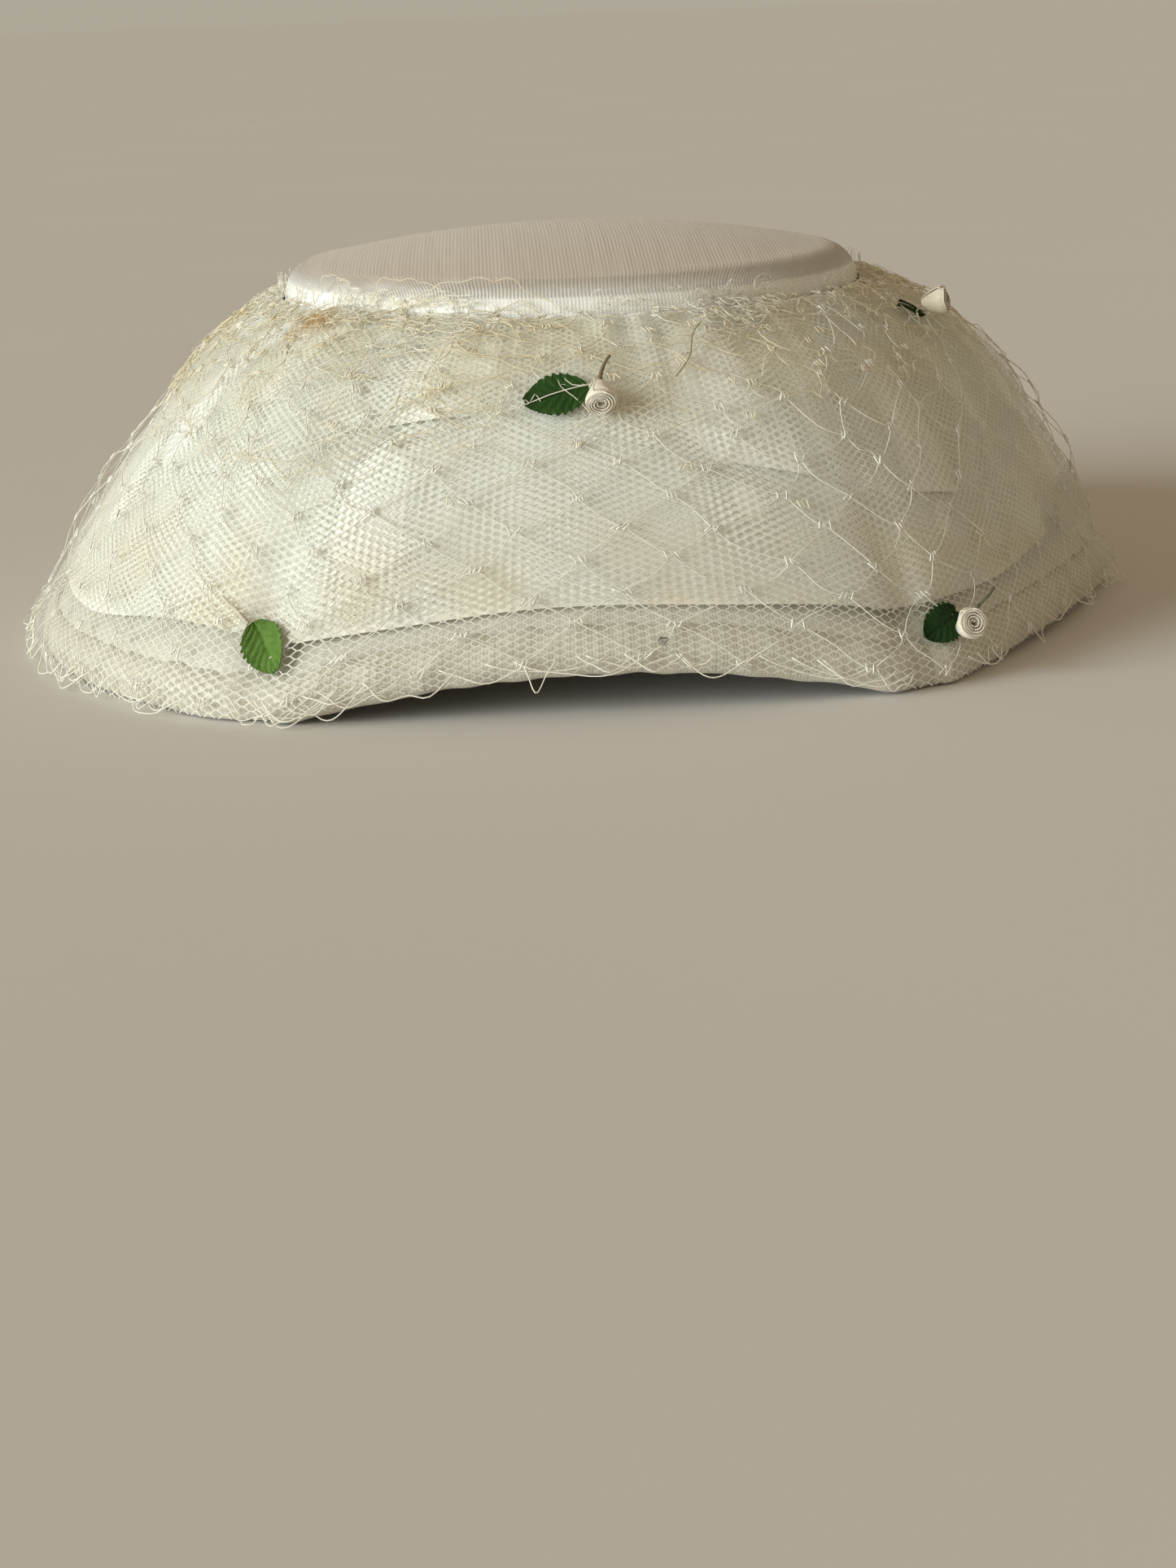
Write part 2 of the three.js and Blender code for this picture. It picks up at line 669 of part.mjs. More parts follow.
const silk = new THREE.MeshStandardMaterial({ color: 0xe9dfc6, roughness: 0.55, metalness: 0 });
const paddedSilk = new THREE.MeshStandardMaterial({ color: 0xeee6d2, roughness: 0.6, metalness: 0 });
const tulle = new THREE.MeshStandardMaterial({ color: 0xf3f0e2, roughness: 0.5, metalness: 0 });
const netThread = new THREE.MeshStandardMaterial({ color: 0xe9dcb6, roughness: 0.45, metalness: 0 });
const leafCloth = new THREE.MeshStandardMaterial({ color: 0x2b5a1c, roughness: 0.7, metalness: 0 });
const ribbon = new THREE.MeshStandardMaterial({ color: 0xe8dcc2, roughness: 0.5, metalness: 0 });
const stemTape = new THREE.MeshStandardMaterial({ color: 0x6f6a45, roughness: 0.8, metalness: 0 });

const hat = new THREE.Group();

function add(name, geometry, material) {
  const mesh = new THREE.Mesh(geometry, material);
  mesh.name = name;
  hat.add(mesh);
  return mesh;
}

add("crown", crownGeometry(), silk);
add("brim", brimGeometry(), silk);
add("edge_roll", rollGeometry(), paddedSilk);
add("tulle_under", swatheGeometry(), tulle);
add("tulle_over", tulleGeometry(), tulle);
add("veil_net", netGeometry(), netThread);
for (const leaf of LEAVES) add(leaf.name, leafGeometry(leaf), leafCloth);
for (const bud of BUDS) {
  const mesh = add(bud.name, budGeometry(), ribbon);
  mesh.applyMatrix4(budMatrix(bud));
}
for (const stem of STEMS) add(stem.name, stemGeometry(stem), stemTape);

export default hat;
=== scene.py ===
"""The looks of the picture hat: silk, padding, tulle, coarse net, leaves and rolled buds.

Lengths below are in millimetres until a mesh is made. Directions round the hat are measured from
its front, which faces -Y, and are positive towards +X. A place on the tulle is given by `turn`,
which counts the brim's lobes from its left front corner, and by `down`, a share of the way from
the crown to under the padded edge.
"""

import math
from types import SimpleNamespace

import bpy
import numpy as np
from mathutils import Matrix


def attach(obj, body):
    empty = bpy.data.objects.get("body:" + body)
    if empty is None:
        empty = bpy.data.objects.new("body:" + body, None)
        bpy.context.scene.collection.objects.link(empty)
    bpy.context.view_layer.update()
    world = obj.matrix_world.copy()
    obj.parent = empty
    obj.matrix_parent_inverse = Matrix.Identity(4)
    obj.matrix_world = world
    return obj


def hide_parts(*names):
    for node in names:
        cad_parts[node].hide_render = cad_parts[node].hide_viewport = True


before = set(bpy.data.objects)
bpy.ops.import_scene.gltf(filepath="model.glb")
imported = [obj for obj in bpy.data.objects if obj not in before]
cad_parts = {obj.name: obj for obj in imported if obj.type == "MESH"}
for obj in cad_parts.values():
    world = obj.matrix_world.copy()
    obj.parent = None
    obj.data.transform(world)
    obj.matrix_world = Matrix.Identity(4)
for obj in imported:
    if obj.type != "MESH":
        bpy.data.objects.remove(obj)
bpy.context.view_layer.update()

MM = 0.001

# Sizes of the solids.
HAT_HEIGHT = 123.5
CROWN_WIDTH, CROWN_LENGTH = 185, 194
CROWN_DOME, CROWN_SHOULDER, CROWN_WALL = 8, 12, 1.6
HEAD_WIDTH, HEAD_LENGTH = 176, 190
HEADLINE_HEIGHT, HEADLINE_STAND = 49, 6
BRIM_REACH, BRIM_WALL = 176.5, 2
LOBE_BULGE, LOBE_ARCH = 12, 12
PINCH_DEPTH, PINCH_WIDTH, CREASE_WIDTH = 5, 7, 5
VALLEY_DEPTH, VALLEY_WIDTH = 5, 16
ROLL_HEIGHT, ROLL_THICKNESS, ROLL_SLOT_DEPTH = 15, 9, 7.5
ROLL_LEAN = 14
REST_FLAT, REST_LENGTH = 1.2, 8.6
TULLE_DROP, TULLE_SLACK, TULLE_FULLNESS = 18.5, 1.5, 5.5
GAP = 0.3
LEAF_LENGTH, LEAF_WIDTH, LEAF_THICKNESS = 20, 13, 0.35
BUD_DIAMETER, BUD_LENGTH, BUD_BASE, BUD_CORE = 10, 8, 0.45, 0.7
STEM_DIAMETER = 1.2

# The brim's six corners: direction in degrees, then shares of reach, lean, pinch, slack and fullness.
CORNER_AT = np.radians([-33.5, 33.5, 90, 146.5, 213.5, 270])
CORNER_REACH = np.array([1.025, 0.985, 1, 1, 1, 1])
CORNER_LEAN = np.array([1.4, 1.4, 2.2, 1.4, 1.4, 2.2])
CORNER_PINCH = np.array([1, 1, 0, 1, 1, 0])
CORNER_SLACK = np.array([0, 0, 1, 0, 0, 1])
CORNER_FULL = np.array([0, 0, 1, 0, 0, -1.1])
# The lobes that start at those corners.
LOBE_BULGES = np.array([0.75, 0.7, 1.1, 0.9, 1.2, 1.7])
LOBE_ARCHES = np.array([1, 0.25, 0.3, 1, 0.3, 0])
LOBES = 6

# The grid that each tulle surface is worked out on.
STATIONS, TULLE_ROWS = 900, 150


def oval_radius(width, length, around):
    return 1 / np.hypot(np.sin(around) / (width / 2), np.cos(around) / (length / 2))


def mix(a, b, share):
    return a + (b - a) * share


def soft_step(value, low, high):
    share = np.clip((value - low) / (high - low), 0, 1)
    return share * share * (3 - 2 * share)


def hump(value, middle, width):
    return np.exp(-(((value - middle) / width) ** 2))


def unit(vectors, guard=0.0):
    return vectors / (np.linalg.norm(vectors, axis=-1, keepdims=True) + guard)


def shares(count):
    """Even steps from 0 to 1, as one row of an array."""
    return np.linspace(0, 1, count)[None, :]


def turns(count):
    """Even steps round the hat."""
    return np.linspace(0, LOBES, count, endpoint=False)


def edge_at(turn, pinch=1.0):
    """The padded edge: its direction, the centre and lean of the roll, and how near a corner it is."""
    turn = np.asarray(turn, float) % LOBES
    lobe = turn.astype(int) % LOBES
    following = (lobe + 1) % LOBES
    u = turn - np.floor(turn)
    reach = CORNER_REACH * BRIM_REACH
    corners = np.stack([reach * np.sin(CORNER_AT), -reach * np.cos(CORNER_AT)], -1)
    start = corners[lobe]
    chord = corners[following] - start
    chord_length = np.linalg.norm(chord, axis=-1)
    outward = np.stack([chord[..., 1], -chord[..., 0]], -1) / chord_length[..., None]
    swell = 4 * u * (1 - u) * LOBE_BULGES[lobe] * LOBE_BULGE
    plan = start + chord * u[..., None] + outward * swell[..., None]
    to_corner = np.minimum(u, 1 - u)
    near = to_corner * chord_length
    halfway = chord_length / 2
    unrisen = np.minimum((halfway - near) / (halfway - REST_LENGTH), 1)
    corner = np.where(u < 0.5, lobe, following)
    corner_share = (1 - to_corner * 2) ** 3
    pinched = CORNER_PINCH[corner] * hump(near, 0, PINCH_WIDTH)
    lean = np.radians(ROLL_LEAN * mix(1, CORNER_LEAN[corner], corner_share))
    radius = np.linalg.norm(plan, axis=-1) - pinch * PINCH_DEPTH * pinched
    foot = LOBE_ARCHES[lobe] * LOBE_ARCH * (1 - unrisen**2) - REST_FLAT
    half, thick = ROLL_HEIGHT / 2, ROLL_THICKNESS / 2
    eased = u * u * (3 - 2 * u)
    return SimpleNamespace(
        turn=turn,
        around=np.arctan2(plan[..., 0], -plan[..., 1]),
        lean=lean,
        r=radius - np.hypot(half * np.sin(lean), thick * np.cos(lean)),
        z=foot + np.hypot(half * np.cos(lean), thick * np.sin(lean)),
        near=near,
        valley=CORNER_PINCH[corner] * hump(near, 0, VALLEY_WIDTH),
        crease=CORNER_PINCH[corner] * hump(near, 0, CREASE_WIDTH),
        slack=TULLE_SLACK * CORNER_SLACK[corner] * corner_share,
        full=TULLE_FULLNESS * mix(CORNER_FULL[lobe], CORNER_FULL[following], eased),
    )


def in_roll(edge, across, along):
    """A section point in the roll's own directions: across it outward, and along it upward."""
    sin, cos = np.sin(edge.lean), np.cos(edge.lean)
    return np.stack([edge.r + across * cos - along * sin, edge.z + across * sin + along * cos], -1)


def on_roll(edge, angle, out=0.0):
    """A point on the roll's oval, or `out` beyond it. The angle is up from its outward side."""
    across = (ROLL_THICKNESS / 2 + out) * np.cos(np.radians(angle))
    along = (ROLL_HEIGHT / 2 + out) * np.sin(np.radians(angle))
    return in_roll(edge, across, along)


def evenly(section, rows):
    """Each section again, at places evenly along it."""
    steps = np.linalg.norm(np.diff(section, axis=1), axis=-1)
    far = np.concatenate([np.zeros((len(section), 1)), np.cumsum(steps, axis=1)], axis=1)
    result = np.empty((len(section), rows, 2))
    for k, axis in np.ndindex(len(section), 2):
        wanted = np.linspace(0, far[k, -1], rows)
        result[k, :, axis] = np.interp(wanted, far[k], section[k, :, axis])
    return result


def softly(section, rows):
    """A soft curve through each section's points, at `rows` places evenly along it."""
    count = section.shape[1]
    first = 2 * section[:, :1] - section[:, 1:2]
    last = 2 * section[:, -1:] - section[:, -2:-1]
    padded = np.concatenate([first, section, last], axis=1)
    place = np.linspace(0, count - 1, rows * 4)
    k = np.minimum(place.astype(int), count - 2)
    f = (place - k)[None, :, None]
    a, b, c, d = (padded[:, k + step] for step in range(4))
    square = (2 * a - 5 * b + 4 * c - d) * f**2
    cube = (3 * b - a - 3 * c + d) * f**3
    return evenly(0.5 * (2 * b + (c - a) * f + square + cube), rows)


def in_space(section, around):
    """Section points, which are a distance from the axis and a height, set in their directions."""
    r, z = section[..., 0], section[..., 1]
    around = around[:, None]
    return np.stack([r * np.sin(around), -r * np.cos(around), z], -1)


def section_normals(section):
    along = np.gradient(section, axis=1)
    return unit(np.stack([-along[..., 1], along[..., 0]], -1))


def ripples(turn, down, size, seed, around=(8, 40), along=2.0, count=14):
    """Soft uneven waves, the same after a whole turn, about `size` high."""
    rng = np.random.default_rng(seed)
    total = 0
    for _ in range(count):
        waves = rng.integers(around[0], around[1] + 1)
        slope = rng.uniform(-along, along)
        phase = rng.uniform(0, 2 * np.pi)
        total = total + np.sin(2 * np.pi * (waves * turn / LOBES + slope * down) + phase)
    return total * size / math.sqrt(count)


class Cloth:
    """A surface over stations round the hat and rows from its inner to its outer edge."""

    def __init__(self, points):
        self.points = points
        around = np.roll(points, -1, axis=0) - np.roll(points, 1, axis=0)
        self.normals = unit(np.cross(np.gradient(points, axis=1), around))

    def moved(self, heights):
        """The cloth again, moved along its normals."""
        return Cloth(self.points + self.normals * heights[..., None])

    def at(self, turn, down, lift=0.0):
        """Points at a place, `lift` above the cloth, also a little beyond its outer edge."""
        stations, rows = self.points.shape[:2]
        x = (np.asarray(turn, float) / LOBES % 1) * stations
        y = np.clip(down, 0, 1.03) * (rows - 1)
        i = np.floor(x).astype(int) % stations
        j = np.minimum(np.floor(y).astype(int), rows - 2)
        fx, fy = (x - np.floor(x))[..., None], (y - j)[..., None]
        after = (i + 1) % stations

        def between(grid):
            inner = mix(grid[i, j], grid[after, j], fx)
            outer = mix(grid[i, j + 1], grid[after, j + 1], fx)
            return mix(inner, outer, fy)

        return between(self.points) + between(self.normals) * np.asarray(lift)[..., None]


def turn_toward(around):
    """The turn at which the brim's edge lies in a direction, in degrees from the front."""
    turns = np.linspace(0, LOBES, 6001)
    found = np.unwrap(edge_at(turns[:-1], 0).around)
    start = found[0]
    wanted = (np.radians(around) - start) % (2 * np.pi) + start
    return np.interp(wanted, found, turns[:-1])


# Meshes.


def make_mesh(name, points, faces, material, flat=None):
    """A smooth shaded mesh object, from points in millimetres and arrays of faces.

    flat: each point's place on the cloth as it lies flat, in millimetres.
    """
    mesh = bpy.data.meshes.new(name)
    faces = [np.asarray(part) for part in faces if len(part)]
    corners = np.concatenate([part.ravel() for part in faces]).astype(np.int32)
    sizes = np.concatenate([np.full(len(part), part.shape[1]) for part in faces])
    starts = np.concatenate([[0], np.cumsum(sizes)[:-1]]).astype(np.int32)
    mesh.vertices.add(len(points))
    mesh.vertices.foreach_set("co", (np.asarray(points) * MM).astype(np.float32).ravel())
    mesh.loops.add(len(corners))
    mesh.loops.foreach_set("vertex_index", corners)
    mesh.polygons.add(len(sizes))
    mesh.polygons.foreach_set("loop_start", starts)
    mesh.polygons.foreach_set("use_smooth", np.ones(len(sizes), dtype=bool))
    if flat is not None:
        layer = mesh.uv_layers.new(name="cloth")
        layer.data.foreach_set("uv", (np.asarray(flat)[corners] * MM).astype(np.float32).ravel())
    mesh.update(calc_edges=True)
    mesh.validate()
    mesh.materials.append(material)
    return add_object(name, mesh)


def add_object(name, data):
    added = bpy.data.objects.new(name, data)
    bpy.context.scene.collection.objects.link(added)
    return added


def make_piece(name, mesh, material, slot, *nodes, flat=None):
    """A piece on the hat's body, from points and faces. nodes: the solids that it stands for."""
    piece = make_mesh(name, *mesh, material, flat)
    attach(piece, "root")
    if nodes:
        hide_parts(*nodes)
    return piece


def grid_faces(stations, rows, closed=True, first=0):
    """Faces of a grid whose points run row by row within each station."""
    i = np.arange(stations if closed else stations - 1)[:, None]
    j = np.arange(rows - 1)[None, :]
    after = (i + 1) % stations
    corners = [i * rows + j, i * rows + j + 1, after * rows + j + 1, after * rows + j]
    return np.stack([first + c + 0 * i for c in corners], -1).reshape(-1, 4)


def rim_faces(rim, count):
    """Faces between a ring of points and the ring whose numbers are higher by count."""
    after = np.roll(rim, -1)
    return np.stack([rim, after, after + count, rim + count], -1)


def ring_shell(outer, inner):
    """A closed shell between two grids that run round the hat. Returns points and faces."""
    stations, rows = outer.shape[:2]
    numbers = np.arange(stations * rows).reshape(stations, rows)
    over = grid_faces(stations, rows)
    under = over[:, ::-1] + numbers.size
    start = rim_faces(numbers[:, 0], numbers.size)
    end = rim_faces(numbers[:, -1], numbers.size)[:, ::-1]
    return np.concatenate([outer.reshape(-1, 3), inner.reshape(-1, 3)]), [over, under, start, end]


def thin_shell(over, under, flipped=False):
    """A closed shell between two open grids. Returns points and faces."""
    rows, columns = over.shape[:2]
    numbers = np.arange(rows * columns).reshape(rows, columns)
    sides = [numbers[0, :-1], numbers[:-1, -1], numbers[-1, :0:-1], numbers[:0:-1, 0]]
    top = grid_faces(rows, columns, closed=False)
    bottom = top + numbers.size
    rim = rim_faces(np.concatenate(sides), numbers.size)
    faces = [top[:, ::-1], bottom, rim[:, [0, 3, 2, 1]]] if flipped else [top, bottom[:, ::-1], rim]
    return np.concatenate([over.reshape(-1, 3), under.reshape(-1, 3)]), faces


# The share of a net mesh's width that its upper side takes.
MESH_TOP = 0.25


def hex_net(place, columns, rows, thread, wide, high, keep=None):
    """A ring of hexagonal net as flat threads. `place` turns column and row numbers into points.

    thread: the thread's width. wide, high: a mesh's usual pitch. keep: says from column and row
    numbers what is there.
    """
    half = 1 / (1 + MESH_TOP)
    corner_x = np.array([1, MESH_TOP, -MESH_TOP, -1, -MESH_TOP, MESH_TOP]) * half * (1 - thread / wide)
    corner_y = np.array([0, 0.5, 0.5, 0, -0.5, -0.5]) * (1 - thread / high)
    i, j = (a.ravel() for a in np.meshgrid(np.arange(columns), np.arange(rows), indexing="ij"))
    centre_x, centre_y = i.astype(float), j + 0.5 * (i % 2)
    points = place(centre_x[:, None] + corner_x, centre_y[:, None] + corner_y)
    there = np.ones(len(i), bool) if keep is None else keep(centre_x, centre_y)

    def cell(across, up):
        """The number of a neighbour, or -1 where there is none."""
        column, row = (i + across) % columns, j + up
        found = np.where((row >= 0) & (row < rows), column * rows + np.clip(row, 0, rows - 1), -1)
        return np.where((found >= 0) & there[np.maximum(found, 0)], found, -1)

    odd = i % 2
    here = np.where(there, i * rows + j, -1)
    above = cell(0, 1)
    right_up, right_down = cell(1, odd), cell(1, odd - 1)
    left_up, left_down = cell(-1, odd), cell(-1, odd - 1)

    def faces(*corners):
        numbers = np.stack([n for n, _ in corners], -1)
        numbers = numbers[(numbers >= 0).all(axis=1)]
        return numbers * 6 + np.array([corner for _, corner in corners])

    parts = [
        faces((here, 1), (here, 2), (above, 4), (above, 5)),
        faces((here, 0), (here, 1), (right_up, 3), (right_up, 4)),
        faces((here, 5), (here, 0), (right_down, 2), (right_down, 3)),
        faces((here, 0), (right_up, 4), (right_down, 2)),
        faces((here, 3), (left_down, 1), (left_up, 5)),
    ]
    return drop_loose(points.reshape(-1, 3), parts)


def drop_loose(points, faces):
    """The points that faces use, with the faces numbered again."""
    used = np.zeros(len(points), bool)
    for part in faces:
        used[part] = True
    number = np.cumsum(used) - 1
    return points[used], [number[part] for part in faces if len(part)]


# A direction that no thread follows for long.
TUBE_GUIDE = np.array([0.21, 0.34, 0.91])


def tubes(paths, radii, sides=4, closed=True):
    """Threads along paths, an array of threads by points. Returns points and faces."""
    threads, steps = paths.shape[:2]
    along = unit(np.gradient(paths, axis=1), 1e-9)
    side = unit(np.cross(along, TUBE_GUIDE), 1e-9)
    other = np.cross(along, side)
    angle = np.arange(sides) * 2 * np.pi / sides
    radii = np.broadcast_to(np.asarray(radii, float), (threads, steps))[..., None, None]
    ring = side[:, :, None] * np.cos(angle)[:, None] + other[:, :, None] * np.sin(angle)[:, None]
    points = paths[:, :, None] + ring * radii
    t = np.arange(threads)[:, None, None]
    s = np.arange(steps - 1)[None, :, None]
    k = np.arange(sides)[None, None, :]

    def number(step, corner):
        return ((t * steps + step) * sides + corner % sides) + 0 * (t + s + k)

    walls = np.stack([number(s, k), number(s, k + 1), number(s + 1, k + 1), number(s + 1, k)], -1)
    if not closed:
        return points.reshape(-1, 3), [walls.reshape(-1, 4)]
    base = (np.arange(threads) * steps * sides)[:, None]
    first = base + np.arange(sides)[::-1]
    last = base + (steps - 1) * sides + np.arange(sides)
    return points.reshape(-1, 3), [walls.reshape(-1, 4), first, last]


def threads_piece(name, materials, lots, *nodes):
    """A piece made of lots of threads, each its points, its faces and its material's number."""
    points, faces, finish, count = [], [], [], 0
    for some_points, some_faces, material in lots:
        points.append(some_points)
        faces += [part + count for part in some_faces]
        finish += [material] * sum(len(part) for part in some_faces)
        count += len(some_points)
    mesh = np.concatenate(points), faces
    piece = make_piece(name, mesh, materials[0], "net_thread", *nodes)
    for material in materials[1:]:
        piece.data.materials.append(material)
    piece.data.polygons.foreach_set("material_index", finish)
    return piece


# Materials.


class Nodes:
    """A tree of nodes, with short names for what they work out."""

    def __init__(self, owner):
        owner.use_nodes = True
        self.tree = owner.node_tree

    def node(self, kind, **settings):
        node = self.tree.nodes.new("ShaderNode" + kind)
        for name, value in settings.items():
            setattr(node, name, value)
        return node

    def link(self, source, target):
        if hasattr(source, "is_linked"):
            self.tree.links.new(source, target)
        else:
            target.default_value = source

    def maths(self, operation, *values, clamp=False):
        node = self.node("Math", operation=operation, use_clamp=clamp)
        for value, socket in zip(values, node.inputs):
            self.link(value, socket)
        return node.outputs[0]

    def plus(self, first, second):
        return self.maths("ADD", first, second)

    def minus(self, first, second):
        return self.maths("SUBTRACT", first, second)

    def times(self, value, factor, added=None):
        """A value times a factor, with something added to it if that is given."""
        if added is None:
            return self.maths("MULTIPLY", value, factor)
        return self.maths("MULTIPLY_ADD", value, factor, added)

    def vector(self, *parts):
        node = self.node("CombineXYZ")
        for value, socket in zip(parts, node.inputs):
            self.link(value, socket)
        return node.outputs[0]

    def within(self, value, low, high, to_low=0.0, to_high=1.0):
        node = self.node("MapRange", interpolation_type="SMOOTHSTEP")
        for socket, number in zip(node.inputs, (value, low, high, to_low, to_high)):
            self.link(number, socket)
        return node.outputs[0]

    def blend(self, share, first, second):
        node = self.node("Mix", data_type="RGBA")
        self.link(share, node.inputs["Factor"])
        for colour, socket in ((first, node.inputs[6]), (second, node.inputs[7])):
            self.link((*colour, 1) if isinstance(colour, tuple) else colour, socket)
        return node.outputs[2]

    def parts(self, vector):
        node = self.node("SeparateXYZ")
        self.link(vector, node.inputs[0])
        return node.outputs


class Paint(Nodes):
    """One material and its shader."""

    def __init__(self, name, roughness=0.6, sheen=0.0, specular=0.3):
        self.material = bpy.data.materials.new(name)
        super().__init__(self.material)
        self.shader = self.tree.nodes["Principled BSDF"]
        self.roughness(roughness)
        self.link(sheen, self.shader.inputs["Sheen Weight"])
        self.link(specular, self.shader.inputs["Specular IOR Level"])
        self.place = self.node("TexCoord").outputs["Object"]
        self.x, self.y, self.z = self.parts(self.place)

    def noise(self, scale, detail=3.0, where=None):
        node = self.node("TexNoise")
        self.link(self.place if where is None else where, node.inputs["Vector"])
        node.inputs["Scale"].default_value = scale
        node.inputs["Detail"].default_value = detail
        return node.outputs["Fac"]

    def near(self, place, reach):
        """1 round a place in the hat's millimetres, and 0 beyond its reach."""
        node = self.node("VectorMath", operation="DISTANCE")
        self.link(self.place, node.inputs[0])
        node.inputs[1].default_value = [length * MM for length in place]
        return self.within(node.outputs["Value"], reach * MM, reach * MM * 0.35)

    def colour(self, source):
        self.link(source, self.shader.inputs["Base Color"])

    def roughness(self, source):
        self.link(source, self.shader.inputs["Roughness"])

    def bump(self, height, distance, strength):
        node = self.node("Bump")
        node.inputs["Strength"].default_value = strength
        node.inputs["Distance"].default_value = distance
        self.link(height, node.inputs["Height"])
        self.link(node.outputs[0], self.shader.inputs["Normal"])

    def see_through(self, share, colour):
        """Lets a share of the light through, as fine thread does."""
        glow = self.node("BsdfTranslucent")
        self.link(colour, glow.inputs["Color"])
        mixed = self.node("MixShader")
        mixed.inputs[0].default_value = share
        self.link(self.shader.outputs[0], mixed.inputs[1])
        self.link(glow.outputs[0], mixed.inputs[2])
        self.link(mixed.outputs[0], self.tree.nodes["Material Output"].inputs["Surface"])

    def honeycomb(self, pitch):
        """A net of hexagons on the flat cloth: from 0 in its openings to 1 on its threads."""
        x, y, _ = self.parts(self.node("UVMap", uv_map="cloth").outputs[0])
        total = 0.0
        for angle in (0, 120, 240):
            angle = math.radians(angle)
            across = self.times(x, math.cos(angle) * 2 * math.pi / pitch)
            up = self.times(y, math.sin(angle) * 2 * math.pi / pitch)
            total = self.plus(self.maths("COSINE", self.plus(across, up)), total)
        return self.within(total, 0.2, -0.8)

    def waves(self, value, length):
        """A wave of the given length in metres, from 0 to 1."""
        turned = self.times(value, 2 * math.pi / length)
        return self.times(self.maths("SINE", turned), 0.5, 0.5)


# Stains: a place in millimetres, and how far it reaches. Then their colours.
RUST_STAIN = ((-79.7, -65.4, 101), 13)
DARK_SPOT = ((17.4, -156.4, 20.6), 2.2)
RUST, SPOT = (0.72, 0.52, 0.24), (0.05, 0.05, 0.05)
# In metres: how long a radian is round the crown's wall, and half of the bend above the wall.
WALL_RADIUS, HALF_BEND = 0.095, 0.003


def shantung(name, light, dark, wall_top, weave=0.00055, top_shade=(1.0, 1.0, 1.0)):
    """Slubbed silk. Above wall_top its slubs run front to back, and below it they run downward.

    top_shade: what the colours above wall_top are multiplied by, a painted shade that makes the top
    darker and warmer than the wall.
    """
    roughness = 0.5
    paint = Paint(name, roughness, sheen=0.25, specular=0.35)
    towards = paint.maths("ARCTAN2", paint.x, paint.times(paint.y, -1.0))
    round_wall = paint.times(towards, WALL_RADIUS)
    on_wall = paint.within(paint.z, wall_top + HALF_BEND, wall_top - HALF_BEND)

    def bent(over_top, down_wall):
        """A place on the cloth, in one way over the top and in another down the wall."""
        change = paint.minus(down_wall, over_top)
        return paint.plus(over_top, paint.times(on_wall, change))

    warp = bent(paint.x, round_wall)
    weft = bent(paint.y, paint.z)

    def streaks_along(fine, long):
        """Uneven streaks, by how many there are to a metre across them and along them."""
        across = paint.times(warp, fine)
        return paint.noise(1.0, 2.0, paint.vector(across, paint.times(weft, long)))

    slubs = streaks_along(1500.0, 28.0)
    streaks = streaks_along(480.0, 9.0)
    patches = paint.noise(22.0, 3.0)
    shade = paint.times(slubs, 0.6, paint.times(streaks, 0.7, -0.25))
    shade = paint.times(patches, 0.3, shade)
    threads = paint.times(paint.waves(warp, weave), paint.waves(weft, weave * 1.15))
    shade = paint.times(threads, 0.3, shade)
    amount = paint.within(shade, 0.35, 0.9)
    # Painted shade: the colours above wall_top are darkened and warmed, so the top reads darker than
    # the lit wall.
    shaded_top_colours = [tuple(c * t for c, t in zip(colour, top_shade)) for colour in (dark, light)]
    on_top = paint.within(paint.z, wall_top - 0.004, wall_top + 0.003)
    colour = paint.blend(on_top, paint.blend(amount, dark, light), paint.blend(amount, *shaded_top_colours))
    paint.colour(paint.blend(paint.near(*DARK_SPOT), colour, SPOT))
    height = paint.times(slubs, 0.8, threads)
    paint.bump(height, 0.00012, 0.8)
    paint.roughness(paint.within(slubs, 0.3, 0.7, roughness + 0.08, roughness - 0.08))
    return paint.material


def thread_paint(name, light, dark, stained, stain_from, stain_to, roughness, glow):
    """Fine pale thread, a little yellowed between two heights."""
    paint = Paint(name, roughness, sheen=0.3, specular=0.4)
    base = paint.blend(paint.noise(55.0, 3.0), dark, light)
    height = paint.within(paint.z, stain_from, stain_to)
    patchy = paint.within(paint.noise(38.0, 3.0), 0.36, 0.6)
    amount = paint.times(height, patchy)
    colour = paint.blend(paint.times(amount, 0.75), base, stained)
    uneven = paint.within(paint.noise(150.0), 0.3, 0.6)
    colour = paint.blend(paint.times(paint.near(*RUST_STAIN), uneven), colour, RUST)
    colour = paint.blend(paint.near(*DARK_SPOT), colour, SPOT)
    paint.colour(colour)
    if glow:
        paint.see_through(glow, colour)
    paint.roughness(paint.within(paint.noise(400.0), 0.3, 0.7, roughness - 0.08, roughness + 0.1))
    paint.bump(paint.noise(2600.0, 2.0), 0.00006, 0.6)
    return paint.material


def leaf_paint(name, light, dark):
    """Woven green cloth, starched, with paler pressed threads."""
    paint = Paint(name, 0.6, sheen=0.0, specular=0.25)
    ribs = paint.plus(paint.x, paint.z)
    rows = paint.minus(paint.x, paint.z)
    weave = paint.times(paint.waves(ribs, 0.0006), paint.waves(rows, 0.0006))
    cloudy = paint.times(paint.noise(220.0, 3.0), 0.7)
    shade = paint.times(weave, 0.7, cloudy)
    paint.colour(paint.blend(paint.within(shade, 0.25, 1.0), dark, light))
    paint.bump(weave, 0.00016, 1.0)
    return paint.material


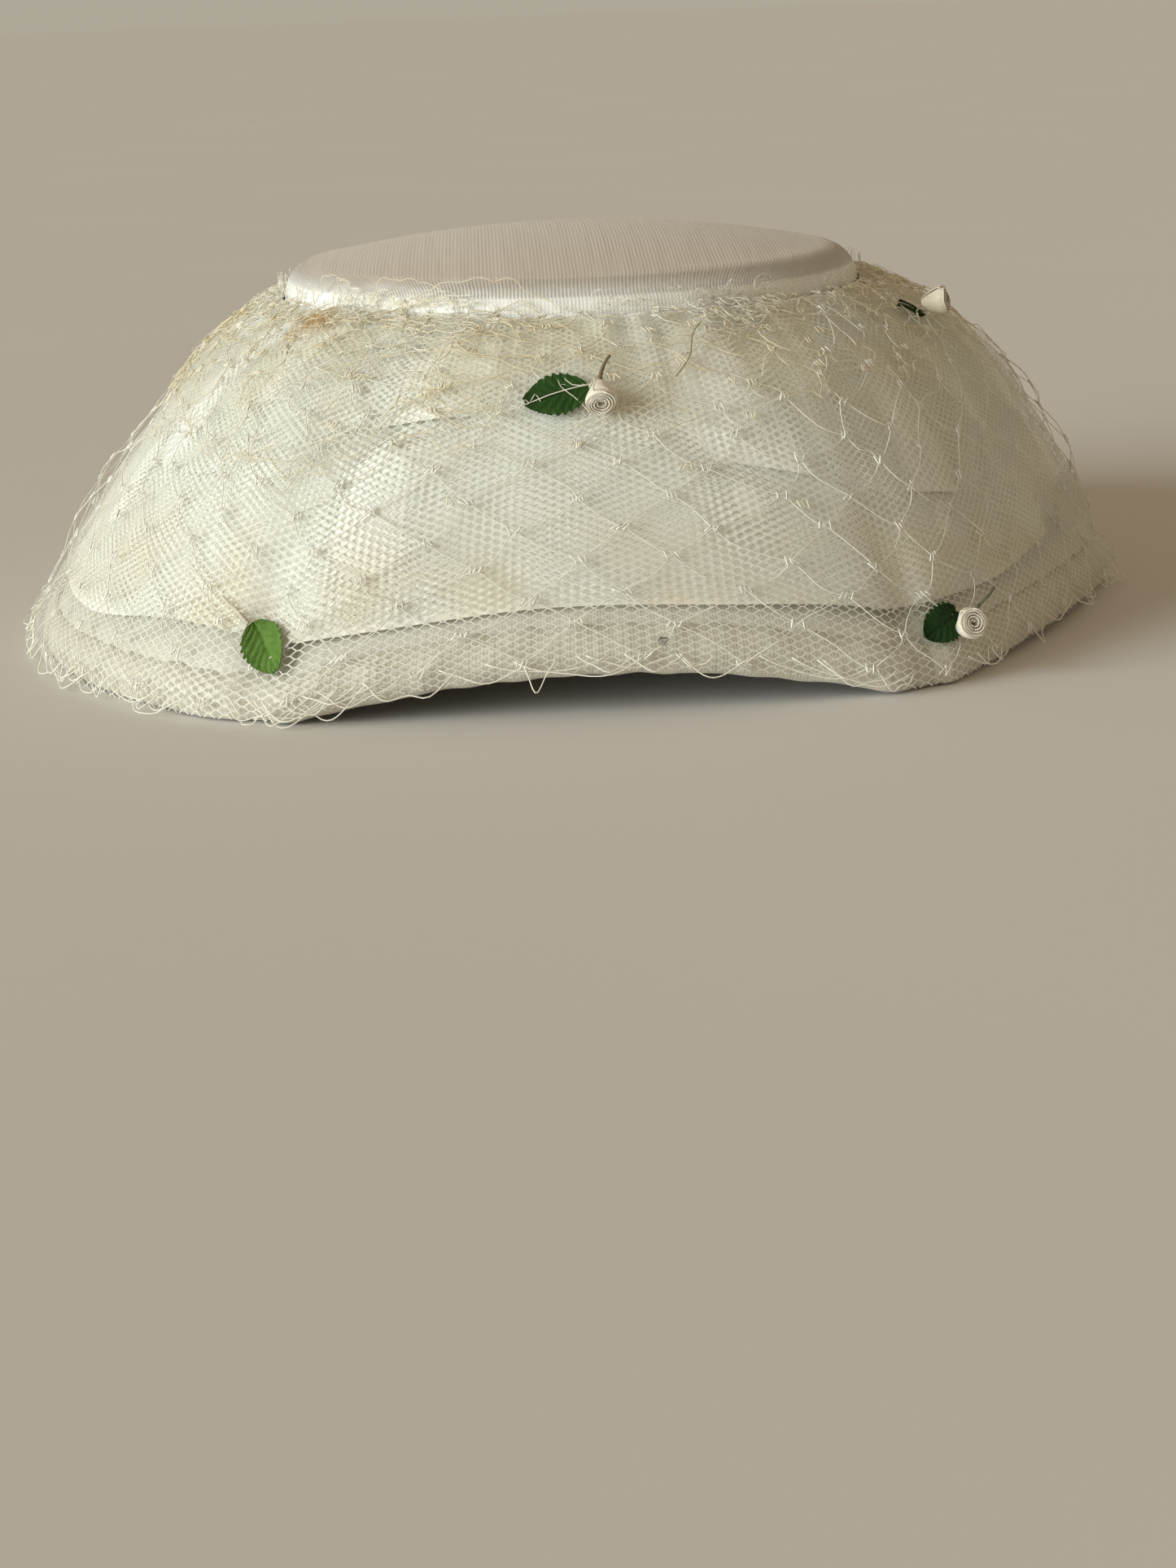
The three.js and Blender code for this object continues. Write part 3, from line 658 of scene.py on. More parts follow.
def ribbon_paint(name):
    """Cream ribbon with fine ribs, browner where it is worn."""
    paint = Paint(name, 0.5, sheen=0.3, specular=0.35)
    worn = paint.within(paint.noise(140.0, 4.0), 0.35, 0.7)
    paint.colour(paint.blend(worn, (0.93, 0.88, 0.76), (0.82, 0.74, 0.58)))
    ribs = paint.waves(paint.plus(paint.x, paint.times(paint.y, 0.6)), 0.0005)
    paint.bump(paint.times(paint.noise(1500.0), 0.6, ribs), 0.0001, 0.7)
    return paint.material


def tape_paint(name, light, dark):
    paint = Paint(name, 0.75, sheen=0.2)
    paint.colour(paint.blend(paint.within(paint.noise(900.0, 3.0), 0.35, 0.65), dark, light))
    paint.bump(paint.waves(paint.plus(paint.x, paint.z), 0.0009), 0.0001, 0.8)
    return paint.material


def tulle_cloth(name, pitch, open_share):
    """A sheet of fine tulle, or of several close together, by the share that its openings hide."""
    paint = Paint(name, 0.5, sheen=0.2)
    cloudy = paint.noise(26.0, 3.0)
    # These pale creams are the tulle's own colour, pushed a little lighter as painted light that makes
    # up for the shade cast by the nets above.
    colour = paint.blend(cloudy, (0.98, 0.99, 0.96), (0.94, 0.94, 0.86))
    low = paint.within(paint.z, 0.062, 0.034)
    aged = paint.times(low, paint.within(paint.noise(34.0, 3.0), 0.36, 0.62))
    colour = paint.blend(paint.times(aged, 0.8), colour, (0.93, 0.86, 0.70))
    paint.colour(colour)
    hidden = paint.times(cloudy, 0.25, open_share - 0.12)
    threads = paint.times(paint.honeycomb(pitch), 1 - open_share)
    paint.link(paint.maths("ADD", hidden, threads, clamp=True), paint.shader.inputs["Alpha"])
    return paint.material


# The crown's last colour is a painted shade that darkens and warms its top.
CROWN_SILK = shantung(
    "crown_silk", (0.97, 0.975, 0.95), (0.84, 0.83, 0.78), 0.112, 0.0011, (0.70, 0.615, 0.54)
)
# The brim's and the padded edge's silk is painted darker than the crown's, as painted shade, for both
# lie in shade under the tulle.
BRIM_SILK = shantung("brim_silk", (0.76, 0.74, 0.65), (0.64, 0.61, 0.52), 0.2)
ROLL_SILK = shantung("roll_silk", (0.72, 0.69, 0.59), (0.58, 0.55, 0.45), 0.2, 0.0006)
UNDER_TULLE = tulle_cloth("under_tulle", 0.0017, 0.86)
INNER_TULLE = tulle_cloth("inner_tulle", 0.0021, 0.72)

# Each thread's light, dark and yellowed colours, then the heights that the yellowing starts and
# ends at, in metres, its roughness, and the share of light that it lets through.
THREADS = [
    ("tulle_thread", (0.96, 0.97, 0.93), (0.91, 0.91, 0.84), (0.92, 0.89, 0.74), 0.06, 0.1, 0.45, 0.4),
    # The lining's thread is painted darker than the outer tulle's, as painted shade under the outer
    # net.
    ("lining_thread", (0.80, 0.81, 0.77), (0.74, 0.74, 0.67), (0.76, 0.73, 0.60), 0.06, 0.1, 0.45, 0.5),
    ("net_thread", (0.96, 0.94, 0.85), (0.92, 0.89, 0.77), (0.82, 0.69, 0.42), 0.05, 0.1, 0.4, 0),
    ("knot_thread", (1.0, 0.99, 0.93), (0.97, 0.95, 0.87), (0.86, 0.76, 0.52), 0.06, 0.11, 0.3, 0),
    ("aged_thread", (0.97, 0.92, 0.77), (0.90, 0.82, 0.61), (0.83, 0.71, 0.46), 0.05, 0.1, 0.4, 0),
    ("brown_thread", (0.36, 0.26, 0.15), (0.26, 0.17, 0.09), (0.30, 0.20, 0.10), 0.05, 0.1, 0.45, 0),
    ("cut_thread", (1.0, 0.97, 0.88), (0.95, 0.91, 0.77), (0.92, 0.84, 0.62), 0.06, 0.11, 0.4, 0),
]
TULLE, LINING_TULLE, NET_THREAD, KNOT_THREAD, AGED_THREAD, BROWN_THREAD, END_THREAD = (
    thread_paint(*thread) for thread in THREADS
)


# Crown.

# How far the silk lies inside the solid crown's face, to leave room for its ripples.
SILK_SINK = 0.35


def crown_section(around, rows):
    side = oval_radius(CROWN_WIDTH, CROWN_LENGTH, around)[:, None]
    base = oval_radius(HEAD_WIDTH, HEAD_LENGTH, around)[:, None]
    flat = side - CROWN_SHOULDER
    share = np.linspace(0.02, 0.97, 40)[None, :]
    dome = np.stack([flat * share, HAT_HEIGHT - CROWN_DOME * share**2 + 0 * flat], -1)
    bend = np.radians(np.linspace(80, 0, 20))[None, :]
    bend_height = HAT_HEIGHT - CROWN_DOME - CROWN_SHOULDER
    bend_z = bend_height + CROWN_SHOULDER * np.sin(bend) + 0 * flat
    shoulder = np.stack([flat + CROWN_SHOULDER * np.cos(bend), bend_z], -1)
    fall = np.linspace(0.06, 1, 24)[None, :]
    foot = HEADLINE_HEIGHT + HEADLINE_STAND
    wall = np.stack([mix(side, base, fall**1.15), mix(bend_height, foot, fall) + 0 * side], -1)
    end = np.stack([base, np.full_like(base, HEADLINE_HEIGHT - BRIM_WALL)], -1)
    return evenly(np.concatenate([dome, shoulder, wall, end], axis=1), rows)


def build_crown():
    rows, stations = 64, 260
    around = np.linspace(0, 2 * np.pi, stations, endpoint=False)
    turn = around / (2 * np.pi) * LOBES
    section = crown_section(around, rows)
    normals = section_normals(section)
    down = shares(rows)
    on_wall = soft_step(down, 0.5, 0.7)
    share = mix(0.35 * soft_step(down, 0.2, 0.5), 1, on_wall)
    uneven = ripples(turn[:, None], down, 0.3, 11, (2, 9), 2.5) * share
    uneven = uneven + ripples(turn[:, None], down, 0.1, 12, (14, 40), 5) * on_wall
    outer = section + normals * (uneven - SILK_SINK)[..., None]
    inner = section - normals * CROWN_WALL
    points, faces = ring_shell(in_space(outer, around), in_space(inner, around))
    centres = np.array([[0, 0, HAT_HEIGHT - SILK_SINK], [0, 0, HAT_HEIGHT - CROWN_WALL]])
    first = np.arange(stations) * rows
    after = np.roll(first, -1)
    count = len(points)
    inside = stations * rows
    cap = np.stack([np.full(stations, count), first, after], -1)
    lining = np.stack([np.full(stations, count + 1), after + inside, first + inside], -1)
    over, under, _, foot = faces
    points = np.concatenate([points, centres])
    mesh = points, [over, under, foot, cap, lining]
    crown = make_piece("crown_shell", mesh, CROWN_SILK, "crown_silk", "crown")


# Brim and padded edge.

BRIM_OUT = np.array([0, 0.3, 0.56, 0.8])
BRIM_DOWN = np.array([0, 0.11, 0.31, 0.61])
# Stitches of the padded edge's seam in each lobe.
STITCHES = 26


def brim_middle(edge):
    start_r = oval_radius(HEAD_WIDTH, HEAD_LENGTH, edge.around) + 2 * GAP
    mouth = in_roll(edge, 0, ROLL_HEIGHT / 2 + BRIM_WALL)
    floor = in_roll(edge, 0, ROLL_HEIGHT / 2 - ROLL_SLOT_DEPTH + GAP)
    out = BRIM_OUT[None, :]
    dip = VALLEY_DEPTH * edge.valley[:, None] * out**2 * (1 - out) * 4
    r = mix(start_r[:, None], mouth[:, :1], out)
    z = mix(HEADLINE_HEIGHT, mouth[:, 1:], BRIM_DOWN[None, :]) - dip
    return np.concatenate([np.stack([r, z], -1), mouth[:, None], floor[:, None]], axis=1)


def build_brim():
    stations, rows = 450, 34
    edge = edge_at(turns(stations))
    middle = softly(brim_middle(edge), rows)
    normals = section_normals(middle)
    down = shares(rows)
    turn = edge.turn[:, None]
    free = np.sin(np.pi * np.clip(down / 0.9, 0, 1)) * (down < 0.9)
    uneven = ripples(turn, down, 0.3, 21, (6, 30), 1.5) * free
    crease = -0.7 * edge.crease[:, None] * soft_step(down, 0.45, 0.8) * (down < 0.93)
    outer = middle + normals * (BRIM_WALL / 2 - 0.3 + uneven + crease)[..., None]
    inner = middle + normals * (uneven * 0.6 - BRIM_WALL / 2)[..., None]
    mesh = ring_shell(in_space(outer, edge.around), in_space(inner, edge.around))
    brim = make_piece("brim_shell", mesh, BRIM_SILK, "brim_silk", "brim")


def build_roll():
    stations = 720
    edge = edge_at(turns(stations))
    slot = BRIM_WALL / 2 + GAP
    lip = math.degrees(math.acos(slot / (ROLL_THICKNESS / 2)))
    angles = np.concatenate([np.linspace(lip, -170, 20), np.linspace(179, 180 - lip, 8)])
    turn = edge.turn
    rings = []
    puckers = -0.5 * edge.crease * np.sin(edge.near * 2.6)
    stitches = 1 + 0.5 * np.sin(turn * 2 * np.pi * STITCHES)
    for angle in angles:
        dents = ripples(turn, angle / 90.0, 0.28, 31, (20, 90), 0.8)
        seam = -0.35 * hump(angle, lip, 14) * stitches
        rings.append(on_roll(edge, angle, dents + puckers + seam - 0.15))
    slot_floor = ROLL_HEIGHT / 2 - ROLL_SLOT_DEPTH
    rings.append(in_roll(edge, -slot, slot_floor))
    rings.append(in_roll(edge, slot, slot_floor))
    outline = np.stack(rings, 1)
    outline[..., 1] = np.maximum(outline[..., 1], 0)
    points = in_space(outline, edge.around)
    here = np.arange(stations * points.shape[1]).reshape(stations, -1)
    below = np.roll(here, -1, axis=1)
    faces = np.stack([here, below, np.roll(below, -1, axis=0), np.roll(here, -1, axis=0)], -1)
    mesh = points.reshape(-1, 3), [faces.reshape(-1, 4)]
    roll = make_piece("padded_edge", mesh, ROLL_SILK, "roll_silk", "edge_roll")


# Tulle.

TENT_OUT = np.array([0, 0.17, 0.35, 0.53, 0.69, 0.84, 0.94])
TENT_UP = np.array([1, 0.92, 0.815, 0.65, 0.467, 0.27, 0.11])
# The tulle's usual lengths round the hat and downward, how far its meshes drift from the straight,
# and the lowest that thread may hang.
TULLE_AROUND, TULLE_LENGTH, NET_DRIFT, LOWEST = 1000, 125, 0.6, 0.4
# How deep the tulle is tucked in at the crown, lies in the valleys and is creased at the cusps, and
# how far and at which turn it hangs out.
CROWN_TUCK, VALLEY_DIP, CREASE_DIP, HANG_OUT, HANGING_AT = 1.1, 2.2, 1.8, 2.4, 5.5
# The folded upper tulle's edge: a direction in degrees from the front, and how far down it is there.
FOLD = [
    (-90, 0.27), (-75, 0.3), (-59, 0.37), (-46, 0.445), (-36, 0.46), (-30.5, 0.414), (-26, 0.366),
    (-22.8, 0.28), (-17, 0.315), (-7, 0.343), (2, 0.348), (12, 0.379), (19, 0.432), (27, 0.485),
    (32, 0.5275), (37, 0.62), (45, 0.62), (67, 0.58), (90, 0.5), (120, 0.42), (150, 0.36),
    (180, 0.32), (210, 0.34), (240, 0.3), (270, 0.27),
]
# The two tiers of fine tulle: a turn, and how far down the short one and the long one reach there.
FLOUNCES = [
    (0, 0.36, 0.83), (0.3, 0.33, 0.84), (0.5, 0.38, 0.84), (0.7, 0.46, 0.84), (1, 0.55, 0.83),
    (1.3, 0.62, 0.83), (1.6, 0.58, 0.8), (1.62, 0.5, 0.7), (2, 0.5, 0.7), (2.5, 0.52, 0.74),
    (3, 0.42, 0.8), (3.6, 0.5, 0.8), (4, 0.44, 0.76), (4.6, 0.36, 0.62), (4.95, 0.42, 0.56),
    (5.1, 0.52, 0.7), (5.12, 0.34, 0.83), (5.3, 0.42, 0.84), (5.5, 0.5, 0.84), (5.7, 0.48, 0.83),
    (6, 0.36, 0.83),
]


def tent_section(edge, wall):
    """The outer tulle's section, `wall` above the padded edge."""
    out = GAP + wall + edge.slack
    top_r = oval_radius(CROWN_WIDTH, CROWN_LENGTH, edge.around)[:, None] + GAP + wall
    top_z = HAT_HEIGHT - TULLE_DROP
    shoulder, *wrap = (on_roll(edge, angle, out) for angle in (34, 17, 0, -20, -40))
    share = TENT_OUT[None, :]
    rise = mix(shoulder[:, 1:], top_z, TENT_UP[None, :])
    full = edge.full[:, None] * np.sin(np.pi * share**1.4)
    tent = np.stack([mix(top_r, shoulder[:, :1], share), rise + full], -1)
    return np.concatenate([tent, shoulder[:, None]] + [p[:, None] for p in wrap], axis=1)


def tent_cloth(wall, seed, gathers, size=0.5, dip=0.0):
    """A tulle surface, gathered at the crown, creased into the cusps and dipped above the roll."""
    turn = turns(STATIONS)
    edge = edge_at(turn, 0.6)
    section = softly(tent_section(edge, wall), TULLE_ROWS)
    cloth = Cloth(in_space(section, edge.around))
    down = shares(TULLE_ROWS)
    turn = turn[:, None]
    at_crown = np.exp(-down / 0.16)
    over_roll = 1 - soft_step(down, 0.72, 0.84)
    heights = ripples(turn, down, size, seed, (7, 26), 1.6) * soft_step(down, 0, 0.12) * over_roll
    heights = heights + ripples(turn, down, gathers, seed + 1, (50, 110), 0.6) * at_crown
    valley = edge.valley[:, None] * hump(down, 0.74, 0.14)
    crease = edge.crease[:, None] * hump(down, 0.82, 0.1)
    beside_roll = hump(down, 0.79, 0.035) * (1 - edge.valley[:, None])
    hanging = hump(turn, HANGING_AT, 0.33) * soft_step(down, 0.84, 0.97)
    heights = heights - (CROWN_TUCK + wall * 0.45) * np.exp(-down / 0.02)
    heights = heights - VALLEY_DIP * valley - CREASE_DIP * crease - dip * beside_roll
    return cloth.moved(heights + wall * HANG_OUT * hanging)


def net_on(cloth, columns, rows, thread, wide, high, last, seed, keep=None):
    """Net laid on a cloth down to a share of the way, drifting a little off the straight."""

    def spot(x, y):
        return x / columns * LOBES, last * ((y + 0.5) / (rows + 0.5))

    def place(x, y):
        turn, down = spot(x, y)
        aside = ripples(turn, down, NET_DRIFT * wide, seed, (3, 12), 1.2, 6)
        ease = np.sin(np.pi * np.clip(down / last, 0, 1))
        lower = ripples(turn, down, NET_DRIFT * high, seed + 1, (4, 14), 1.0, 6) * ease
        return cloth.at(turn + aside / TULLE_AROUND * LOBES, down + lower / TULLE_LENGTH)

    def kept(x, y):
        return keep(*spot(x, y))

    points, faces = hex_net(place, columns, rows, thread, wide, high, keep and kept)
    points[:, 2] = np.maximum(points[:, 2], LOWEST)
    return points, faces


def net_piece(name, net, material):
    """One of the tulle nets."""
    piece = make_piece(name, net, material, "tulle", "tulle_over")


def fold_down(turn):
    """How far down the folded upper tulle reaches."""
    around = (np.degrees(edge_at(turn, 0).around) + 90) % 360 - 90
    return np.interp(around, *zip(*FOLD))


def build_tulle():
    """The nets and fine tulle. Returns the folded upper tulle, on which the rest lies."""
    outer = tent_cloth(1.0, 41, 0.5, dip=0.8)
    net = net_on(outer, 430, 55, 0.34, 2.4, 2.3, 1.018, 43)
    net_piece("tulle_outer", net, TULLE)

    lining = tent_cloth(0.25, 51, 0.4)
    beside_roll = soft_step(np.linspace(0, 1, TULLE_ROWS), 0.64, 0.76)[None, :]
    lining = lining.moved(0.45 * beside_roll + np.zeros((STATIONS, 1)))
    net = net_on(lining, 430, 48, 0.38, 2.4, 2.25, 0.845, 53)
    net_piece("tulle_lining", net, LINING_TULLE)

    build_flounces()
    swag = outer.moved(swag_heights())

    def above_fold(turn, down):
        return down < fold_down(turn)

    net = net_on(swag, 520, 34, 0.3, 1.9, 1.9, 0.66, 63, above_fold)
    net_piece("tulle_swag", net, TULLE)
    return swag


def build_flounces():
    """Fine tulle between the net and the brim, in two tiers with scalloped, turned up edges."""
    turn = turns(560)[:, None]
    at, *reaches = zip(*FLOUNCES)
    tiers = (("tulle_inner", 57, -0.3, 1.0), ("tulle_inner_long", 59, -0.9, 1.62))
    for (name, seed, wall, longer), reach in zip(tiers, reaches):
        cloth = tent_cloth(wall, seed, 0.4, 0.8)
        reach = np.interp(turn, at, reach) + ripples(turn, 0, 0.008, seed, (4, 12))
        down = 0.01 + shares(44) * reach
        flounce = Cloth(cloth.at(turn + 0 * down, down))
        cloth_piece(name, flounce, 820, 64 * longer, INNER_TULLE, "tulle_over", 3)


def swag_heights():
    """The folded upper tulle stands a little proud, most of all just above its fold, and ends there."""
    turn = turns(STATIONS)
    down = shares(TULLE_ROWS)
    share = down / fold_down(turn)[:, None]
    puff = 0.5 + 0.8 * np.sin(np.pi * np.clip(share, 0, 1) ** 2.2)
    return puff * (1 - soft_step(share, 0.98, 1.06))


SWATHE_OUT = np.array([0.02, 0.3, 0.58, 0.7, 0.77, 0.82])
SWATHE_FILL = np.array([0.84, 0.8, 0.74, 0.5, 0.1, 0])
SWATHE_FOLDS = 9


def height_at(section, r):
    return np.array([np.interp(at, *part.T) for at, part in zip(r, section)])


def build_swathe():
    """The puffed and folded inner tulle, between the brim and the tent of the outer tulle."""
    turn, levels = turns(480), 46
    edge = edge_at(turn)
    middle = softly(brim_middle(edge), 60)
    brim = middle[:, :50] + section_normals(middle)[:, :50] * 2.3
    tent = softly(tent_section(edge, 1.0), 90)
    tent = (tent - section_normals(tent) * 2.4)[:, :70]
    shoulder = tent_section(edge, 1.0)[:, len(TENT_OUT), 0]
    start = tent[:, 0, 0]
    fold = 0.1 * np.cos(SWATHE_FOLDS * edge.around)
    rows = []
    for out, fill in zip(SWATHE_OUT, SWATHE_FILL):
        r = start + out * (shoulder - start)
        z = mix(height_at(brim, r), height_at(tent, r), fill * (1 + fold * (1 - out)))
        rows.append(np.stack([r, z], -1))
    section = softly(np.stack(rows, 1), levels)
    cloth = Cloth(in_space(section, edge.around))
    down = shares(levels)
    heights = ripples(turn[:, None], down, 1.0, 71, (5, 24), 1.5) * np.sin(np.pi * down)
    cloth_piece("tulle_puff", cloth.moved(heights - 0.8), 920, 105, UNDER_TULLE, "tulle_under")


def closed_grid(points):
    """A ring's grid with its first station again at its end."""
    return np.concatenate([points, points[:1]])


def cloth_piece(name, cloth, around, length, material, node, hem=0):
    """A sheet of fine tulle, cut `around` by `length`, with `hem` rows turned up at its edge."""
    stations, rows = cloth.points.shape[:2]
    places = np.linspace(0, around, stations + 1), np.linspace(0, length, rows)
    layers = [(closed_grid(cloth.points), np.stack(np.meshgrid(*places, indexing="ij"), -1))]
    if hem:
        turned_up = closed_grid(cloth.moved(np.full((stations, rows), -0.15)).points)
        layers.append((turned_up[:, -hem:], layers[0][1][:, -hem:]))
    faces = [grid_faces(stations + 1, rows, closed=False)]
    faces += [grid_faces(stations + 1, hem, closed=False, first=faces[0].max() + 1)] if hem else []
    points = np.concatenate([grid.reshape(-1, 3) for grid, _ in layers])
    flat = np.concatenate([grid.reshape(-1, 2) for _, grid in layers])
    piece = make_piece(name, (points, faces), material, "tulle", node, flat=flat)


# Coarse net.

VEIL_COLUMNS, VEIL_LEVELS = 38, 14
# How far the net stands off the tulle, usually and more at the brim's two side corners.
VEIL_LIFT, SIDE_LIFT = 1.1, 3.0
STRAND_BEND, STRAND_SAG = 0.022, 0.008
SLIPPED_KNOTS, STROKE_SPAN = 70, 128
# How high above the tulle's upper edge a slipped thread may climb.
HIGHEST_CLIMB = 11
STRAND_RADIUS, STROKE_RADIUS, CRUMPLED_RADIUS, END_RADIUS, LOOP_RADIUS = 0.18, 0.26, 0.17, 0.15, 0.19


def veil_knots(rng):
    """Places of the net's knots, staggered from level to level, closer together near the crown."""
    level, column = np.meshgrid(np.arange(VEIL_LEVELS), np.arange(VEIL_COLUMNS), indexing="ij")
    turn = (column + 0.5 * (level % 2)) / VEIL_COLUMNS * LOBES
    down = (level / (VEIL_LEVELS - 1)) ** 1.12 * 0.96 + 0.01
    loose = 1 - soft_step(down, 0.1, 0.6)
    turn = turn + rng.normal(0, 1, turn.shape) * (0.012 + 0.03 * loose)
    down = down + rng.normal(0, 1, down.shape) * (0.006 + 0.014 * loose)
    return turn, np.clip(down, 0.004, 0.985)


def strand_ends(turn, down):
    """The two ends of every strand, which runs from a knot to a knot one level further down."""
    levels, columns = np.arange(VEIL_LEVELS - 1), np.arange(VEIL_COLUMNS)
    level, column = (a.ravel() for a in np.meshgrid(levels, columns, indexing="ij"))
    level, column, step = np.tile(level, 2), np.tile(column, 2), np.repeat([0, -1], level.size)
    after = level + 1, (column + level % 2 + step) % VEIL_COLUMNS
    a_turn, b_turn = turn[level, column][:, None], turn[after][:, None]
    b_turn = a_turn + (b_turn - a_turn + 3) % LOBES - 3
    return a_turn, b_turn, down[level, column][:, None], down[after][:, None]


def veil_strands(tulle, turn, down, rng):
    a_turn, b_turn, a_down, b_down = strand_ends(turn, down)
    share = shares(9)
    sag = np.sin(np.pi * share)
    bend = rng.normal(0, 1, a_turn.shape)
    loose = 0.3 + 1.3 * (1 - soft_step(a_down, 0.1, 0.55))
    place_turn = mix(a_turn, b_turn, share) + sag * bend * STRAND_BEND * loose
    curl = rng.normal(0, 1, a_turn.shape) * np.sin(2 * np.pi * share)
    place_down = mix(a_down, b_down, share) + (sag * STRAND_SAG + curl * STRAND_SAG * loose)
    lift = veil_lift(place_turn, place_down) + sag * rng.uniform(-0.6, 0.8, a_turn.shape)
    return tulle.at(place_turn, np.clip(place_down, 0, 1), lift)


def build_veil(tulle):
    rng = np.random.default_rng(81)
    turn, down = veil_knots(rng)
    strands = tubes(veil_strands(tulle, turn, down, rng), STRAND_RADIUS, sides=3, closed=False)
    knots = tubes(knot_strokes(tulle, turn.ravel(), down.ravel(), rng), STROKE_RADIUS, sides=3)
    crumpled = tubes(crumpled_threads(tulle, rng), CRUMPLED_RADIUS, sides=3, closed=False)
    slipped_turn = rng.uniform(-1.2, 1.9, SLIPPED_KNOTS)
    slipped_down = np.abs(rng.normal(0, 0.2, SLIPPED_KNOTS)) + 0.02
    slipped = tubes(knot_strokes(tulle, slipped_turn, slipped_down, rng), STROKE_RADIUS, sides=3)
    lots = (*strands, 0), (*knots, 1), (*crumpled, 2), (*slipped, 2)
    veil = threads_piece("coarse_net", [NET_THREAD, KNOT_THREAD, AGED_THREAD], lots, "veil_net")
    ends = build_ends(tulle, rng)


def veil_lift(turn, down):
    turn = turn % LOBES
    aside = hump(turn, 5, 0.3) + hump(turn, 2, 0.3)
    return VEIL_LIFT + SIDE_LIFT * aside * np.sin(np.pi * np.clip((down - 0.35) / 0.55, 0, 1)) ** 2


def crumpled_threads(tulle, rng):
    """Threads that have slipped and lie crumpled: first those on the fold, last those that climb."""
    count, steps, folded, climbing = 150, 40, 14, 18
    share = shares(steps)
    along_fold = (np.arange(count) < folded)[:, None]
    start = np.where(along_fold, rng.uniform(4.9, 6.4, (count, 1)), rng.uniform(0, LOBES, (count, 1)))
    start[-climbing:] = rng.uniform(5.75, 6.45, (climbing, 1))
    width = rng.uniform(0.12, 0.55, (count, 1))
    turn = start + width * (share - 0.5)
    wander = np.zeros((count, steps))
    sideways = np.zeros((count, steps))
    for waves in (1, 2, 3, 5, 8):
        phase = rng.uniform(0, 2 * np.pi, (count, 2))
        size = rng.normal(0, 1, (count, 2)) / waves**0.8
        wander += size[:, :1] * np.sin(waves * np.pi * share * 2 + phase[:, :1])
        sideways += size[:, 1:] * np.sin(waves * np.pi * share * 2 + phase[:, 1:])
    free = np.abs(rng.normal(0.0, 0.17, (count, 1))) + 0.01
    down = np.where(along_fold, fold_down(turn) + rng.normal(0, 0.02, (count, 1)), free)
    down = np.minimum(down + wander * 0.016, 0.8)
    down[:-climbing] = np.maximum(down[:-climbing], 0.004)
    down[-climbing:] -= rng.uniform(0.04, 0.16, (climbing, 1)) * np.sin(np.pi * share)
    lift = 1.3 + rng.uniform(0, 1.2, (count, 1)) * np.sin(np.pi * share) + 0 * down
    paths = tulle.at(turn + sideways * 0.012, np.maximum(down, 0), lift)
    paths[..., 2] += HIGHEST_CLIMB * np.tanh(np.maximum(-down, 0) * 10)
    return paths


def knot_strokes(tulle, turn, down, rng):
    """Short bright strokes side by side, which tie the net's threads together."""
    strokes, steps, apart = 3, 4, 1.2
    spread = (np.arange(strokes) - 1)[None, :, None] * apart
    along = np.linspace(-1.5, 1.5, steps)[None, None, :]
    tilt = rng.normal(0, 0.3, (len(turn), strokes, 1)) + rng.normal(0, 0.3, (len(turn), 1, 1))
    right = spread + along * np.sin(tilt) + rng.normal(0, 0.12, (len(turn), strokes, 1))
    lower = along * np.cos(tilt) * rng.uniform(0.6, 1.1, (len(turn), strokes, 1))
    place_turn = turn[:, None, None] + right / TULLE_AROUND * LOBES * 1.1
    place_down = down[:, None, None] + lower / STROKE_SPAN
    raised = rng.uniform(-0.2, 0.5, (len(turn), strokes, 1))
    lift = veil_lift(place_turn, place_down) + raised + 0 * along
    return tulle.at(place_turn, np.clip(place_down, 0, 1), lift).reshape(-1, steps, 3)


# The turns at which most thread ends are gathered, and how long the way round is there.
FRIZZ_AT, CROWN_AROUND = [5.0, 5.8, 5.93, 0.12, 0.86, 1.9], 600
# How steeply thread ends climb above the tulle's upper edge.
END_CLIMB = 110


def cut_ends(tulle, rng):
    """Cut thread ends round the crown's base."""
    count, steps = 480, 11
    clump = rng.choice(FRIZZ_AT, count) + rng.normal(0, 0.09, count)
    turn = np.where(rng.random(count) < 0.55, clump, rng.uniform(0, LOBES, count))[:, None]
    down = rng.normal(0.01, 0.03, count)[:, None]
    share = shares(steps)
    length = rng.uniform(4, 18, count)[:, None]
    turning = rng.normal(0, 3.2, count)[:, None] * share
    turning = turning + rng.normal(0, 1.5, count)[:, None] * np.sin(7 * share)
    heading = rng.uniform(0, 2 * np.pi, count)[:, None] + turning
    step = length / (steps - 1)
    right = np.cumsum(np.cos(heading) * step, axis=1)
    lower = np.cumsum(np.sin(heading) * step, axis=1)
    rise = rng.uniform(0.3, 3.0, count)[:, None] * np.sin(np.pi * share * 0.8)
    place_down = down + lower / TULLE_LENGTH
    place_down = np.where(place_down < 0, 0.05 * np.tanh(place_down / 0.05), place_down)
    turn = turn + right / CROWN_AROUND * LOBES
    ends = tulle.at(turn, np.maximum(place_down, 0), 1.2 + 0.6 * rise)
    ends[..., 2] += END_CLIMB * np.maximum(-place_down, 0)
    return tubes(ends, END_RADIUS * (1 - 0.5 * share) + 0 * ends[..., 0], sides=3)


def build_ends(tulle, rng):
    lots = (*cut_ends(tulle, rng), 0), (*edge_loops(tulle, rng), 0), (*loose_thread(tulle), 1)
    return threads_piece("net_ends", [END_THREAD, BROWN_THREAD], lots)


def loose_thread(tulle):
    """One brown thread that lies across the front, from near the crown toward the bud."""
    share = np.linspace(0, 1, 26)
    turn = mix(turn_toward(18.3), turn_toward(11.7), share + 0.09 * np.sin(2 * np.pi * share))
    path = tulle.at(turn, mix(0.086, 0.258, share), 2.0 + 0.4 * np.sin(5 * share))
    return tubes(path[None], 0.2, sides=4)


